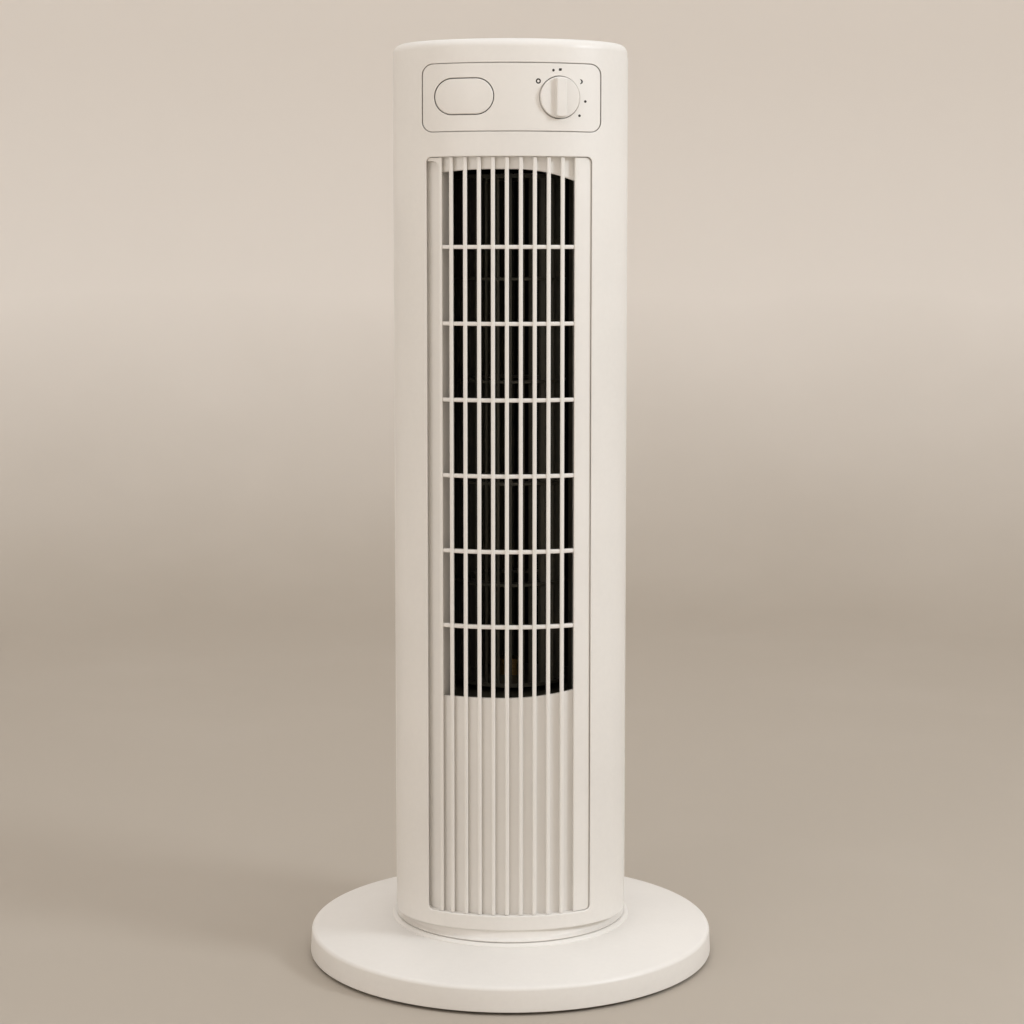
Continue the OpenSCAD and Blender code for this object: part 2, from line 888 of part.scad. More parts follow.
// The scroll opens from a close gap at the back to a wide one at the front left.
scroll_path = concat(
    [for (a = [100 : 5 : 215])
        let (r = wheel_r + 3 + 11 * (a - 100) / 115)
        [r * cos(a), wheel_y + r * sin(a)]],
    [[-49.5, -35.5]]
);

module scroll_wall() {
    color(dark) translate([0, 0, duct_z0 + plate_duct_t])
        linear_extrude(duct_z1 - duct_z0 - plate_duct_t) polygon(ribbon(scroll_path, 1.8));
}

tongue_path = concat(
    [[52, -33], [51, -28]],
    arc(57, -14, 8.5, 200, 130, 6),
    [[56, 4], [62, 12], [70, 16]]
);

module vortex_tongue() {
    color(dark) translate([0, 0, duct_z0 + plate_duct_t])
        linear_extrude(duct_z1 - duct_z0 - plate_duct_t) polygon(ribbon(tongue_path, 1.8));
}

blade_path = arc(38.6, 6.2, 9.2, -78, 34, 7);
wheel_ring_count = 6;

module cross_flow_wheel() {
    span = wheel_z1 - wheel_z0;
    color(dark) translate([0, wheel_y, 0]) difference() {
        union() {
            translate([0, 0, wheel_z0 + 1]) linear_extrude(span - 2)
                intersection() {
                    for (k = [0 : blade_count - 1])
                        rotate(360 / blade_count * k) polygon(ribbon(blade_path, 1.1));
                    circle(r = wheel_r - 0.4);
                }
            for (k = [1 : wheel_ring_count - 2])
                let (z = wheel_z0 + (span - 2) * k / (wheel_ring_count - 1))
                    ring(wheel_r, wheel_r - 13, z, z + 2);
            translate([0, 0, wheel_z0]) cylinder(r = wheel_r, h = 3);
            translate([0, 0, wheel_z1 - 3]) cylinder(r = wheel_r, h = 3);
            translate([0, 0, wheel_z1 - 3]) cylinder(r = pin_r, h = 20);
        }
        translate([0, 0, wheel_z0 - 1]) cylinder(r = 9.05, h = 5);
    }
}

module wheel_hub() {
    color(brass) translate([0, wheel_y, 0]) difference() {
        translate([0, 0, wheel_z0 - 2]) cylinder(r = 9, h = 18);
        translate([0, 0, wheel_z0 - 3]) cylinder(r = shaft_r + 0.02, h = 16);
        translate([0, 0, wheel_z0 + 10]) rotate([0, 90, 0]) cylinder(r = 1.5, h = 20);
    }
}

module bearing_holder() {
    color(dark) translate([0, wheel_y, 0])
        difference() {
            union() {
                translate([0, 0, duct_z1 + plate_duct_t]) cylinder(r = 19, h = 2);
                translate([0, 0, duct_z1 + plate_duct_t]) cylinder(r = 11, h = 9);
            }
            translate([0, 0, duct_z1]) cylinder(r = 6.02, h = 20);
        }
}

module bearing_bush() {
    color(brass) translate([0, wheel_y, 0])
        ring(6, pin_r + fit, duct_z1 + plate_duct_t, duct_z1 + plate_duct_t + 9);
}

mount_ring = 32;
mount_at = [for (a = [45 : 90 : 315]) [mount_ring * cos(a), wheel_y + mount_ring * sin(a)]];

module motor_bracket() {
    color(steel) difference() {
        cross_floor(bracket_z, bracket_t, 12);
        for (p = mount_at) translate([p[0], p[1], bracket_z - 1]) cylinder(r = 2.3, h = 6);
        for (s = [-1, 1])
            box(s * 62 - 12, s * 62 + 12, -20, 16, bracket_z - 1, bracket_z + bracket_t + 1);
    }
}

module motor_mounts() {
    color(dark)
        for (p = mount_at) translate([p[0], p[1], 0]) {
            ring(6, 2.2, motor_z1, bracket_z);
            ring(6, 2.2, bracket_z + bracket_t, bracket_z + bracket_t + 2);
        }
}

module motor_screws() {
    color(steel)
        for (p = mount_at)
            translate([p[0], p[1], bracket_z + bracket_t + 2]) screw(3.6, 2, 2, 13);
}

module motor_can() {
    color(steel) translate([0, wheel_y, 0]) difference() {
        union() {
            translate([0, 0, motor_z0]) cylinder(r = motor_r, h = motor_z1 - motor_z0);
            translate([0, 0, motor_z0 - 4]) cylinder(r = 8, h = 8);
            translate([0, 0, motor_z1 - 4]) cylinder(r = 10, h = 11);
        }
        difference() {
            translate([0, 0, motor_z0 + 1.5])
                cylinder(r = motor_r - 1.5, h = motor_z1 - motor_z0 - 3);
            translate([0, 0, motor_z0]) cylinder(r = 8, h = 4);
            translate([0, 0, motor_z1 - 4]) cylinder(r = 10, h = 4);
        }
        translate([0, 0, motor_z0 - 5]) cylinder(r = shaft_r + fit, h = 80);
        for (a = [45 : 90 : 315])
            rotate([0, 0, a]) translate([mount_ring, 0, motor_z1 - 3]) cylinder(r = 2.05, h = 5);
        for (a = [0 : 60 : 300])
            rotate([0, 0, a]) translate([22, 0, motor_z0 - 1]) cylinder(r = 5, h = 4);
    }
}

module motor_stator() {
    color(grey) translate([0, wheel_y, 0]) difference() {
        ring(motor_r - 1.8, 20.2, motor_z0 + 12, motor_z1 - 12);
        for (a = [15 : 30 : 345])
            rotate([0, 0, a]) box(19, 32, -1.5, 1.5, motor_z0, motor_z1);
    }
}

module motor_windings() {
    color(copper) translate([0, wheel_y, 0]) {
        ring(34, 22.5, motor_z1 - 12, motor_z1 - 6);
        ring(34, 22.5, motor_z0 + 6, motor_z0 + 12);
    }
}

module motor_rotor() {
    color(steel) translate([0, wheel_y, 0]) {
        translate([0, 0, motor_z0 - 6]) cylinder(r = shaft_r, h = wheel_z0 + 12 - motor_z0 + 6);
        translate([0, 0, motor_z0 + 12]) cylinder(r = 19.6, h = motor_z1 - motor_z0 - 24);
    }
}

module capacitor() {
    z = bracket_z + bracket_t;
    color(dark) translate([26, 38, z]) linear_extrude(28) polygon([
        for (p = soft_rect(36, 18, 3)) p + [18, 9]
    ]);
}

module terminal_block() {
    color(ivory) difference() {
        box(-66, -34, -32, -20, floor_z1, floor_z1 + 11);
        for (k = [0 : 3])
            translate([-61.5 + 7.6 * k, -26, floor_z1 + 5]) cylinder(r = 2.2, h = 8);
    }
}

// The leads run from the terminal block up the left side of the column to the switches.
harness_path = [
    [-63, -26, 57.6], [-67, -18, 63.4], [-70.5, -6, 72], [-72, 8, 86], [-72, 18, 100],
    [-72, 24, 118], [-72, 24, 240], [-72, 24, 400], [-72, 24, 560], [-72, 24, 656],
    [-71.5, 20, 670], [-69.5, 8, 682], [-66, -8, 692], [-61, -24, 698], [-56, -38, 701],
    [-54.5, -46, 702], [-51.8, -50.6, 702], [-47.6, -51, 702]
];
harness_r = 2.6;

module wire_harness() {
    last = len(harness_path) - 1;
    color(dark) loft([
        for (i = [0 : last])
            let (
                v = harness_path[min(i + 1, last)] - harness_path[max(i - 1, 0)],
                t = v / norm(v),
                side = cross(t, [0.96, 0.28, 0]),
                u = side / norm(side),
                w = cross(t, u)
            )
            [for (q = [0 : 45 : 315]) harness_path[i] + harness_r * (cos(q) * u + sin(q) * w)]
    ]);
}

// ---------- sweep drive ----------

module sweep_motor() {
    color(steel) difference() {
        union() {
            translate([0, sweep_y, floor_z1]) cylinder(r = sweep_can_r, h = sweep_can_h);
            box(-sweep_ear_x - 5, sweep_ear_x + 5, sweep_y - 5, sweep_y + 5, floor_z1, floor_z1 + 1.5);
        }
        translate([0, sweep_y, floor_z1 - 1]) cylinder(r = sweep_shaft_r + fit, h = 15);
        for (s = [-1, 1])
            translate([s * sweep_ear_x, sweep_y, floor_z1 - 1]) cylinder(r = 1.7, h = 4);
    }
}

module sweep_screws() {
    color(steel)
        for (s = [-1, 1])
            translate([s * sweep_ear_x, sweep_y, floor_z1 + 1.5]) screw(3, 1.8, 1.5, 7);
}

module crank_arm() {
    color(steel) translate([0, sweep_y, 0]) {
        translate([0, 0, crank_z]) cylinder(r = 8, h = crank_t);
        translate([0, 0, crank_z]) cylinder(r = sweep_shaft_r, h = floor_z1 + 12 - crank_z);
        translate([0, crank_r, crank_z]) cylinder(r = 4, h = crank_t);
        box(-4, 4, 0, crank_r, crank_z, crank_z + crank_t);
        translate([0, crank_r, yoke_z0 + yoke_t + 0.4]) cylinder(r = 2, h = crank_z - yoke_z0 - yoke_t);
    }
}

module crank_roller() {
    color(brass) translate([0, sweep_y + crank_r, 0])
        ring(crank_pin_r, 2.03, yoke_z0 + yoke_t + 0.4, crank_z - 0.2);
}

base_cover();
base_plate();
base_weight();
rubber_feet();
base_screws();
cord_inlet();
collar_ring();
pivot_post();
thrust_washer();
sweep_yoke();
retaining_ring();
post_screws();
turntable();
column_floor();
front_shell();
rear_shell();
top_cap();
shell_screws();
grip_cup();
intake_filter();
front_grille();
control_panel();
dial_marks();
switch_bracket();
rotary_switch();
push_switch();
duct_floor();
duct_ceiling();
scroll_wall();
vortex_tongue();
bearing_holder();
bearing_bush();
motor_bracket();
motor_mounts();
motor_can();
motor_stator();
motor_windings();
motor_screws();
capacitor();
terminal_block();
wire_harness();
sweep_motor();
sweep_screws();
crank_arm();
crank_roller();
cross_flow_wheel();
wheel_hub();
motor_rotor();
speed_knob();
switch_spindle();
push_button();
button_spring();
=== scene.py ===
"""The looks of an oscillating tower fan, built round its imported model.

Sizes are in millimetres in the object's own frame: Z up, front towards -Y. new_piece() turns them
into metres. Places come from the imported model's boxes and joints.
"""

import json
import math

import bmesh
import bpy
import numpy as np
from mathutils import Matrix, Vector
from mathutils.geometry import delaunay_2d_cdt


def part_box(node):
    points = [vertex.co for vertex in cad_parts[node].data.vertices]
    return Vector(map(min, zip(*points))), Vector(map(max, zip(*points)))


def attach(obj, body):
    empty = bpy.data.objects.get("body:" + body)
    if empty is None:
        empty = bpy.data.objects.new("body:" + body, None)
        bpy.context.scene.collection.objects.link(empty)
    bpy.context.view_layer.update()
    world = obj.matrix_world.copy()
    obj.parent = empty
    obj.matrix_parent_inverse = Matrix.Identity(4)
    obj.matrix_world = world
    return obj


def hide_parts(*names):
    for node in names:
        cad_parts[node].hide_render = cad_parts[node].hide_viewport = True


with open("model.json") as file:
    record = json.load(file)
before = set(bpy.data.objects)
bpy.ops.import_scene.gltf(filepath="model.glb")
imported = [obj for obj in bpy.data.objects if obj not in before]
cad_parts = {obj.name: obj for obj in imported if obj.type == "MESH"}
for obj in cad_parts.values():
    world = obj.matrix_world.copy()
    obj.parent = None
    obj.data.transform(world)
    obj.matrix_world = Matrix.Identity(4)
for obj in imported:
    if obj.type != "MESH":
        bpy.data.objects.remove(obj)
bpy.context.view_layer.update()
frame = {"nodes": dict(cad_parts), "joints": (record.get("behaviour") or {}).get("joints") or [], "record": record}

MM = 0.001
MERGE = 3e-6
SHARP = math.radians(38)
UP = np.array([0.0, 0.0, 1.0])


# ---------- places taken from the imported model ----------

def span(node):
    """Lowest and highest corner of a CAD node."""
    low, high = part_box(node)
    return np.array(low) / MM, np.array(high) / MM


def joint(name):
    """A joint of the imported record."""
    return next(j for j in frame["joints"] if j["name"] == name)


FRONT_LOW, FRONT_HIGH = span("front_shell")
REAR_HIGH = span("rear_shell")[1]
CAP_HIGH = span("top_cap")[1]
GRILLE_LOW, GRILLE_HIGH = span("front_grille")
PANEL_LOW, PANEL_HIGH = span("control_panel")
BUTTON_LOW, BUTTON_HIGH = span("push_button")
COVER_LOW, COVER_HIGH = span("base_cover")
COLLAR_LOW, COLLAR_HIGH = span("collar_ring")
NECK_LOW, NECK_HIGH = span("turntable")
GRIP_LOW, GRIP_HIGH = span("grip_cup")
KNOB_LOW, KNOB_HIGH = span("speed_knob")

HALF_W = FRONT_HIGH[0]
FRONT_SET = 24.0  # how far in front of the column's axis its front starts to curve
REAR_SET = 14.0  # how far behind the axis its back starts to curve
WALL = 2.5
SEAM_Y = FRONT_HIGH[1]
SEAM_STEP = REAR_HIGH[0] - HALF_W
FOOT_Z = FRONT_LOW[2]
SHELL_TOP = FRONT_HIGH[2]
TOP_Z = CAP_HIGH[2]
SCREWS = [(x, z) for z in (96.0, 300.0, 505.0, 712.0) for x in (-84.0, 84.0)]


# ---------- the column's outline ----------

class Outline:
    """Half of the column's outline from above, as a curve by its length u from the middle line.

    side is -1 for the front half and +1 for the back half. The curve is a quarter ellipse on each
    hand, carried straight on to the seam.
    """

    def __init__(self, side, start, bulge, seam):
        angle = np.linspace(0, math.pi / 2, 721)
        nx, ny = bulge * np.sin(angle), HALF_W * np.cos(angle)
        size = np.hypot(nx, ny)
        self.side = side
        self.x = np.append(HALF_W * np.sin(angle), HALF_W)
        self.y = np.append(start + bulge * np.cos(angle), seam)
        self.nx = np.append(nx / size, 1.0)
        self.ny = np.append(ny / size, 0.0)
        self.u = np.concatenate([[0.0], np.cumsum(np.hypot(np.diff(self.x), np.diff(self.y)))])
        self.end = self.u[-1]

    def normal(self, u):
        """Unit vectors that point out of the column."""
        away = np.abs(u)
        nx, ny = np.interp(away, self.u, self.nx), np.interp(away, self.u, self.ny)
        size = np.hypot(nx, ny)
        return np.stack([np.sign(u) * nx / size, self.side * ny / size, 0 * away], -1)

    def along(self, u):
        """Unit vectors that point the way u grows."""
        n = self.normal(u)
        return np.stack([self.side * n[:, 1], -self.side * n[:, 0], 0 * n[:, 0]], -1)

    def at(self, u, z, out=0.0):
        """Points of the face that is moved outwards by out."""
        u = np.asarray(u, float)
        away = np.abs(u)
        x, y = np.interp(away, self.u, self.x), np.interp(away, self.u, self.y)
        flat = np.stack([np.sign(u) * x, self.side * y, np.broadcast_to(z, u.shape)], -1)
        return flat + self.normal(u) * np.asarray(out)[..., None]

    def u_at(self, x, out=0.0):
        """Where along the curve a face has a sideways place x."""
        return np.sign(x) * np.interp(np.abs(x), self.x + self.nx * out, self.u)


FRONT = Outline(-1, FRONT_SET, -FRONT_LOW[1] - FRONT_SET, -SEAM_Y)
REAR = Outline(1, REAR_SET, REAR_HIGH[1] - SEAM_STEP - REAR_SET, SEAM_Y)


# ---------- outlines ----------

def swung(first, last, turn, share):
    """A vector that has done a share of its turn from first to last."""
    return (np.sin((1 - share) * turn) * first + np.sin(share * turn) * last) / np.sin(turn)


def rounded(corners, steps=6):
    """A closed outline from corners given as (x, y, radius)."""
    points = []
    for i, (x, y, radius) in enumerate(corners):
        here = np.array([x, y], float)
        if radius == 0:
            points.append(here)
            continue
        back = np.array(corners[i - 1][:2], float) - here
        ahead = np.array(corners[(i + 1) % len(corners)][:2], float) - here
        back, ahead = back / np.linalg.norm(back), ahead / np.linalg.norm(ahead)
        corner = math.acos(np.clip(back @ ahead, -1, 1))
        middle = (back + ahead) / np.linalg.norm(back + ahead)
        centre = here + middle * radius / math.sin(corner / 2)
        first = here + back * radius / math.tan(corner / 2) - centre
        last = here + ahead * radius / math.tan(corner / 2) - centre
        turn = math.pi - corner
        points += [centre + swung(first, last, turn, k / steps) for k in range(steps + 1)]
    return np.array(points)


def soft_rect(x0, x1, z0, z1, radius, steps=6):
    """A rectangle with round corners, anticlockwise."""
    return rounded([(x0, z0, radius), (x1, z0, radius), (x1, z1, radius), (x0, z1, radius)], steps)


def circle(x, y, radius, count=48):
    a = np.linspace(0, 2 * math.pi, count, endpoint=False)
    return np.stack([x + radius * np.cos(a), y + radius * np.sin(a)], -1)


def level(flat, z):
    """Flat points at a height."""
    return np.column_stack([flat, np.full(len(flat), z)])


def arc(x, y, radius, start, stop, steps):
    a = np.radians(np.linspace(start, stop, steps + 1))
    return np.stack([x + radius * np.cos(a), y + radius * np.sin(a)], -1)


def densify(points, across=3.0, up=9.0):
    """The same closed outline with its long edges split."""
    made = []
    for here, there in zip(points, np.roll(points, -1, 0)):
        step = there - here
        count = max(1, math.ceil(max(abs(step[0]) / across, abs(step[1]) / up)))
        made += [here + step * k / count for k in range(count)]
    return np.array(made)


def left_of(points):
    """At each point of a closed outline, the unit vector to the left of the way it runs."""
    back = points - np.roll(points, 1, 0)
    ahead = np.roll(points, -1, 0) - points
    way = back / np.linalg.norm(back, axis=1)[:, None] + ahead / np.linalg.norm(ahead, axis=1)[:, None]
    way /= np.linalg.norm(way, axis=1)[:, None]
    return np.stack([-way[:, 1], way[:, 0]], -1)


def unit(vectors):
    return vectors / np.linalg.norm(vectors, axis=-1)[..., None]


def inside(points, outline):
    """Which points lie inside a closed outline."""
    x, y = points[:, 0][:, None], points[:, 1][:, None]
    ax, ay = outline[:, 0], outline[:, 1]
    bx, by = np.roll(ax, -1), np.roll(ay, -1)
    crosses = (ay > y) != (by > y)
    slope = np.where(by == ay, 1.0, by - ay)
    return (crosses & (x < (bx - ax) * (y - ay) / slope + ax)).sum(1) % 2 == 1


def fill(outer, holes, across=5.0, up=12.0):
    """Points and triangles between an outline and its holes, over a loose grid."""
    loops = [outer, *holes]
    points = np.concatenate(loops)
    edges, start = [], 0
    for loop in loops:
        n = len(loop)
        edges += [(start + i, start + (i + 1) % n) for i in range(n)]
        start += n
    low, high = outer.min(0), outer.max(0)
    grid_u = np.linspace(low[0], high[0], max(3, int((high[0] - low[0]) / across)))[1:-1]
    grid_z = np.linspace(low[1], high[1], max(3, int((high[1] - low[1]) / up)))[1:-1]
    grid = np.stack(np.meshgrid(grid_u, grid_z), -1).reshape(-1, 2)
    keep = inside(grid, outer)
    for hole in holes:
        keep &= ~inside(grid, hole)
    grid = grid[keep]
    near, batch, clearance = np.full(len(grid), np.inf), 400, 0.45 * across
    for part in np.array_split(points, max(1, len(points) // batch)):
        near = np.minimum(near, np.linalg.norm(grid[:, None] - part[None], axis=2).min(1))
    grid = grid[near > clearance]
    everything = [Vector(p) for p in np.concatenate([points, grid])]
    found = delaunay_2d_cdt(everything, edges, [], 1, 1e-4)
    flat = np.array([tuple(p) for p in found[0]])
    triangles = np.array([f for f in found[2] if len(f) == 3])
    middles = flat[triangles].mean(1)
    keep = inside(middles, outer)
    for hole in holes:
        keep &= ~inside(middles, hole)
    return flat, triangles[keep]


# ---------- meshes ----------

class Mesh:
    """Collects points and faces, in millimetres."""

    def __init__(self):
        self.points = []
        self.faces = []
        self.count = 0

    def add(self, points):
        """Adds points and returns their numbers."""
        self.points.append(np.asarray(points, float))
        first, self.count = self.count, self.count + len(points)
        return np.arange(first, self.count)

    def strip(self, a, b):
        """Quads between two closed rows of points."""
        for i in range(len(a)):
            j = (i + 1) % len(a)
            self.faces.append((a[i], a[j], b[j], b[i]))

    def cap(self, row):
        """One face over a closed row of points."""
        self.faces.append(tuple(row))

    def skin(self, rows):
        """Adds a stack of closed rows with quads between them, and returns their numbers."""
        numbers = [self.add(row) for row in rows]
        for a, b in zip(numbers, numbers[1:]):
            self.strip(a, b)
        return numbers

    def rings(self, rows, capped=True):
        """A skin over a stack of closed rows, capped at both ends or joined end to end."""
        numbers = self.skin(rows)
        if capped:
            self.cap(numbers[0])
            self.cap(numbers[-1])
        else:
            self.strip(numbers[-1], numbers[0])

    def as_object(self, name):
        """An object in the scene with this mesh, in metres."""
        data = bpy.data.meshes.new(name)
        points = np.concatenate(self.points) * MM
        data.from_pydata(points.tolist(), [], [tuple(int(i) for i in f) for f in self.faces])
        made = bpy.data.objects.new(name, data)
        bpy.context.scene.collection.objects.link(made)
        return made


def new_piece(name, mesh, body, nodes, slot_name):
    """Turns a Mesh into an object that rides on a body and stands for CAD nodes."""
    piece = mesh.as_object(name)
    clean(piece)
    piece.data.materials.append(MATERIALS[slot_name])
    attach(piece, body)
    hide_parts(*nodes)
    return piece


def clean(piece):
    """Merges doubled points, points the faces outwards and keeps only real edges sharp."""
    made = bmesh.new()
    made.from_mesh(piece.data)
    bmesh.ops.remove_doubles(made, verts=made.verts, dist=MERGE)
    bmesh.ops.dissolve_degenerate(made, edges=made.edges, dist=MERGE / 10)
    bmesh.ops.recalc_face_normals(made, faces=made.faces)
    for face in made.faces:
        face.smooth = True
    open_edges = 0
    for edge in made.edges:
        if len(edge.link_faces) == 2:
            edge.smooth = edge.calc_face_angle() < SHARP
        else:
            open_edges += 1
    if open_edges:
        print(f"OPEN {piece.name}: {open_edges} edges")
    made.to_mesh(piece.data)
    made.free()


def rim(shape, out, thick, loop, radius, way, skirt=None, steps=5, guard=0.5):
    """The edge of a curved plate along a closed loop of (u, z) points, which runs with the material
    on its left: rows of points from the face, round a fillet and down the wall to the inner face.

    way is None for a wall square to the face, or the direction of the wall into the plate. A skirt of
    (depth, width) carries the wall on behind the plate. Returns the rows, the loop on the face and
    the loop on the inner face.
    """
    u, z = loop.T
    left = left_of(loop)
    normal, along = shape.normal(u), shape.along(u)
    corner = shape.at(u, z, out)
    into = unit(left[:, :1] * along + left[:, 1:] * UP)
    travel = unit(left[:, 1:] * along - left[:, :1] * UP)
    down = -normal if way is None else np.broadcast_to(np.array(way, float), normal.shape)
    wall = unit(down - (down * travel).sum(1)[:, None] * travel)
    angle = np.arccos(np.clip((into * wall).sum(1), -1, 1))
    radius = np.broadcast_to(np.asarray(radius, float), u.shape)
    reach = radius / np.tan(angle / 2)
    centre = corner + unit(into + wall) * (radius / np.sin(angle / 2))[:, None]
    start = -unit(wall - (wall * into).sum(1)[:, None] * into)
    stop = -unit(into - (wall * into).sum(1)[:, None] * wall)
    turn = (math.pi - angle)[:, None]
    face_loop = loop + left * (reach + guard)[:, None]
    first = loop + left * reach[:, None]
    rows = [shape.at(*face_loop.T, out), shape.at(*first.T, out)]
    for k in range(1, steps + 1):
        rows.append(centre + swung(start, stop, turn, k / steps) * radius[:, None])
    if skirt is not None:
        low, flat = -skirt[0], np.column_stack([corner[:, 0], z])
        rows.append(shape.at(shape.u_at(flat[:, 0], low), z, low))
        flat = flat + left_of(flat) * skirt[1]
        rows.append(shape.at(shape.u_at(flat[:, 0], low), flat[:, 1], low))
        inner = np.column_stack([shape.u_at(flat[:, 0], out - thick), flat[:, 1]])
        rows.append(shape.at(*inner.T, out - thick))
        return rows, face_loop, inner
    depth = thick / np.abs((down * normal).sum(1))
    ends = corner + down * depth[:, None]
    inner_u = u if way is None else shape.u_at(ends[:, 0], out - thick)
    rows.append(shape.at(inner_u, z, out - thick))
    return rows, face_loop, np.stack([inner_u, z], -1)


def plate(mesh, shape, out, thick, outer, holes=(), across=5.0, up=12.0):
    """A curved plate. outer and each of holes is (loop, fillet radius, way, skirt), with the last one
    left off where there is none; loops run anticlockwise."""
    rims = [rim(shape, out, thick, densify(outer[0]), *outer[1:])]
    rims += [rim(shape, out, thick, densify(hole[0])[::-1], *hole[1:]) for hole in holes]
    for rows, _, _ in rims:
        mesh.skin(rows)
    for side in (0, 1):
        loops = [r[1 + side] for r in rims]
        flat, triangles = fill(loops[0], loops[1:], across, up)
        numbers = mesh.add(shape.at(flat[:, 0], flat[:, 1], out - side * thick))
        mesh.faces += [tuple(numbers[t]) for t in triangles]


def by_x(shape, out, loop):
    """A loop of (x, z) points as (u, z) points on a face."""
    loop = densify(loop)
    return np.stack([shape.u_at(loop[:, 0], out), loop[:, 1]], -1)


def lathe(mesh, profile, count=128, place=None):
    """A closed profile of (radius, height) points turned about Z, or about the axis of place."""
    rows = [level(circle(0, 0, radius, count), height) for radius, height in profile]
    mesh.rings([row if place is None else place(row) for row in rows], capped=False)


def raised(mesh, outline, levels, place):
    """A solid whose outline shrinks by levels of (inset, height), placed by a function."""
    left = left_of(outline)
    rows = []
    for inset, height in levels:
        rows.append(place(level(outline + left * inset, height)))
    mesh.rings(rows)


def shoulder(radius, top, steps=6):
    """Levels of (inset, height) round a fillet that ends at a top face."""
    a = np.radians(np.linspace(0, 90, steps + 1))
    return [(radius * (1 - math.cos(t)), top - radius + radius * math.sin(t)) for t in a]


# ---------- materials ----------

class Nodes:
    """A material's node tree, with short calls to make and link its nodes."""

    def __init__(self, name):
        self.material = bpy.data.materials.new(name)
        self.material.use_nodes = True
        self.tree = self.material.node_tree
        self.shader = self.tree.nodes["Principled BSDF"]
        self.place = self.make("ShaderNodeTexCoord").outputs["Object"]

    def make(self, kind, **settings):
        node = self.tree.nodes.new(kind)
        for key, value in settings.items():
            setattr(node, key, value)
        return node

    def link(self, source, target):
        self.tree.links.new(source, target)

    def stretched(self, scale):
        """The object's coordinates, scaled along each axis."""
        node = self.make("ShaderNodeMapping")
        node.inputs["Scale"].default_value = scale
        self.link(self.place, node.inputs["Vector"])
        return node.outputs["Vector"]

    def noise(self, scale, detail=3.0, rough=0.5, place=None):
        node = self.make("ShaderNodeTexNoise")
        node.inputs["Scale"].default_value = scale
        node.inputs["Detail"].default_value = detail
        node.inputs["Roughness"].default_value = rough
        self.link(place or self.place, node.inputs["Vector"])
        return node.outputs["Fac"]

    def spread(self, source, low, high, start=0.3, stop=0.7):
        """Maps a texture's middle range onto low to high."""
        node = self.make("ShaderNodeMapRange")
        node.inputs["From Min"].default_value = start
        node.inputs["From Max"].default_value = stop
        node.inputs["To Min"].default_value = low
        node.inputs["To Max"].default_value = high
        self.link(source, node.inputs["Value"])
        return node.outputs["Result"]

    def colours(self, source, *stops):
        """A ramp of (place, colour) stops."""
        node = self.make("ShaderNodeValToRGB")
        ramp = node.color_ramp
        while len(ramp.elements) < len(stops):
            ramp.elements.new(0.5)
        for element, (place, colour) in zip(ramp.elements, stops):
            element.position = place
            element.color = (*colour, 1)
        self.link(source, node.inputs["Fac"])
        return node.outputs["Color"]

    def bump(self, source, strength, distance, under=None):
        node = self.make("ShaderNodeBump")
        node.inputs["Strength"].default_value = strength
        node.inputs["Distance"].default_value = distance
        self.link(source, node.inputs["Height"])
        if under is not None:
            self.link(under, node.inputs["Normal"])
        return node.outputs["Normal"]


def tinted(colour, factor):
    return tuple(min(1.0, c * factor) for c in colour)


def moulded(name, colour, rough, grain=1400.0, grain_depth=0.00003, mottle=0.03, specular=0.5):
    """Moulded plastic: a fine spark-eroded grain, slow flow marks and a slightly uneven gloss."""
    n = Nodes(name)
    slow = n.noise(9.0, 2.0)
    fine = n.noise(240.0, 2.0)
    mixed = n.make("ShaderNodeMath", operation="ADD")
    n.link(n.spread(slow, -0.5, 0.5), mixed.inputs[0])
    n.link(n.spread(fine, 0.35, 0.65), mixed.inputs[1])
    n.link(n.colours(mixed.outputs["Value"], (0.0, tinted(colour, 1 - mottle)), (0.5, colour),
                     (1.0, tinted(colour, 1 + mottle))), n.shader.inputs["Base Color"])
    n.link(n.spread(n.noise(60.0, 4.0), rough - 0.05, rough + 0.05), n.shader.inputs["Roughness"])
    soft = n.bump(n.noise(36.0, 2.0), 0.12, 0.0003)
    n.link(n.bump(n.noise(grain, 2.0, 0.6), 0.5, grain_depth, soft), n.shader.inputs["Normal"])
    n.shader.inputs["Specular IOR Level"].default_value = specular
    return n.material


def metal(name, colour, rough, stretch=(1, 1, 1), scale=400.0, depth=0.00002, tint=0.12):
    """Bare or plated metal with fine working marks, drawn out along the axes that stretch shrinks."""
    n = Nodes(name)
    marks = n.noise(scale, 4.0, 0.6, n.stretched(stretch))
    cloudy = n.noise(30.0, 3.0)
    n.link(n.colours(cloudy, (0.3, tinted(colour, 1 - tint)), (0.7, tinted(colour, 1 + tint))),
           n.shader.inputs["Base Color"])
    n.link(n.spread(marks, rough - 0.1, rough + 0.12), n.shader.inputs["Roughness"])
    n.link(n.bump(marks, 0.4, depth), n.shader.inputs["Normal"])
    n.shader.inputs["Metallic"].default_value = 1.0
    return n.material


def layered(name, colour, gap_shade_colour, pitch, metallic, rough):
    """Thin layers or turns stacked along Z: stamped sheets or wound wire, with painted shade in the gaps between
    them.
    """
    n = Nodes(name)
    wave = n.make("ShaderNodeTexWave", bands_direction="Z")
    wave.inputs["Scale"].default_value = math.pi / pitch / 10
    wave.inputs["Distortion"].default_value = 0.4
    n.link(n.place, wave.inputs["Vector"])
    # the darker colour in the gaps between sheets or turns is painted shade
    n.link(n.colours(wave.outputs["Fac"], (0.1, gap_shade_colour), (0.6, colour)), n.shader.inputs["Base Color"])
    n.link(n.bump(wave.outputs["Fac"], 0.6, 0.0002), n.shader.inputs["Normal"])
    n.link(n.spread(n.noise(200.0), rough - 0.06, rough + 0.06), n.shader.inputs["Roughness"])
    n.shader.inputs["Metallic"].default_value = metallic
    return n.material


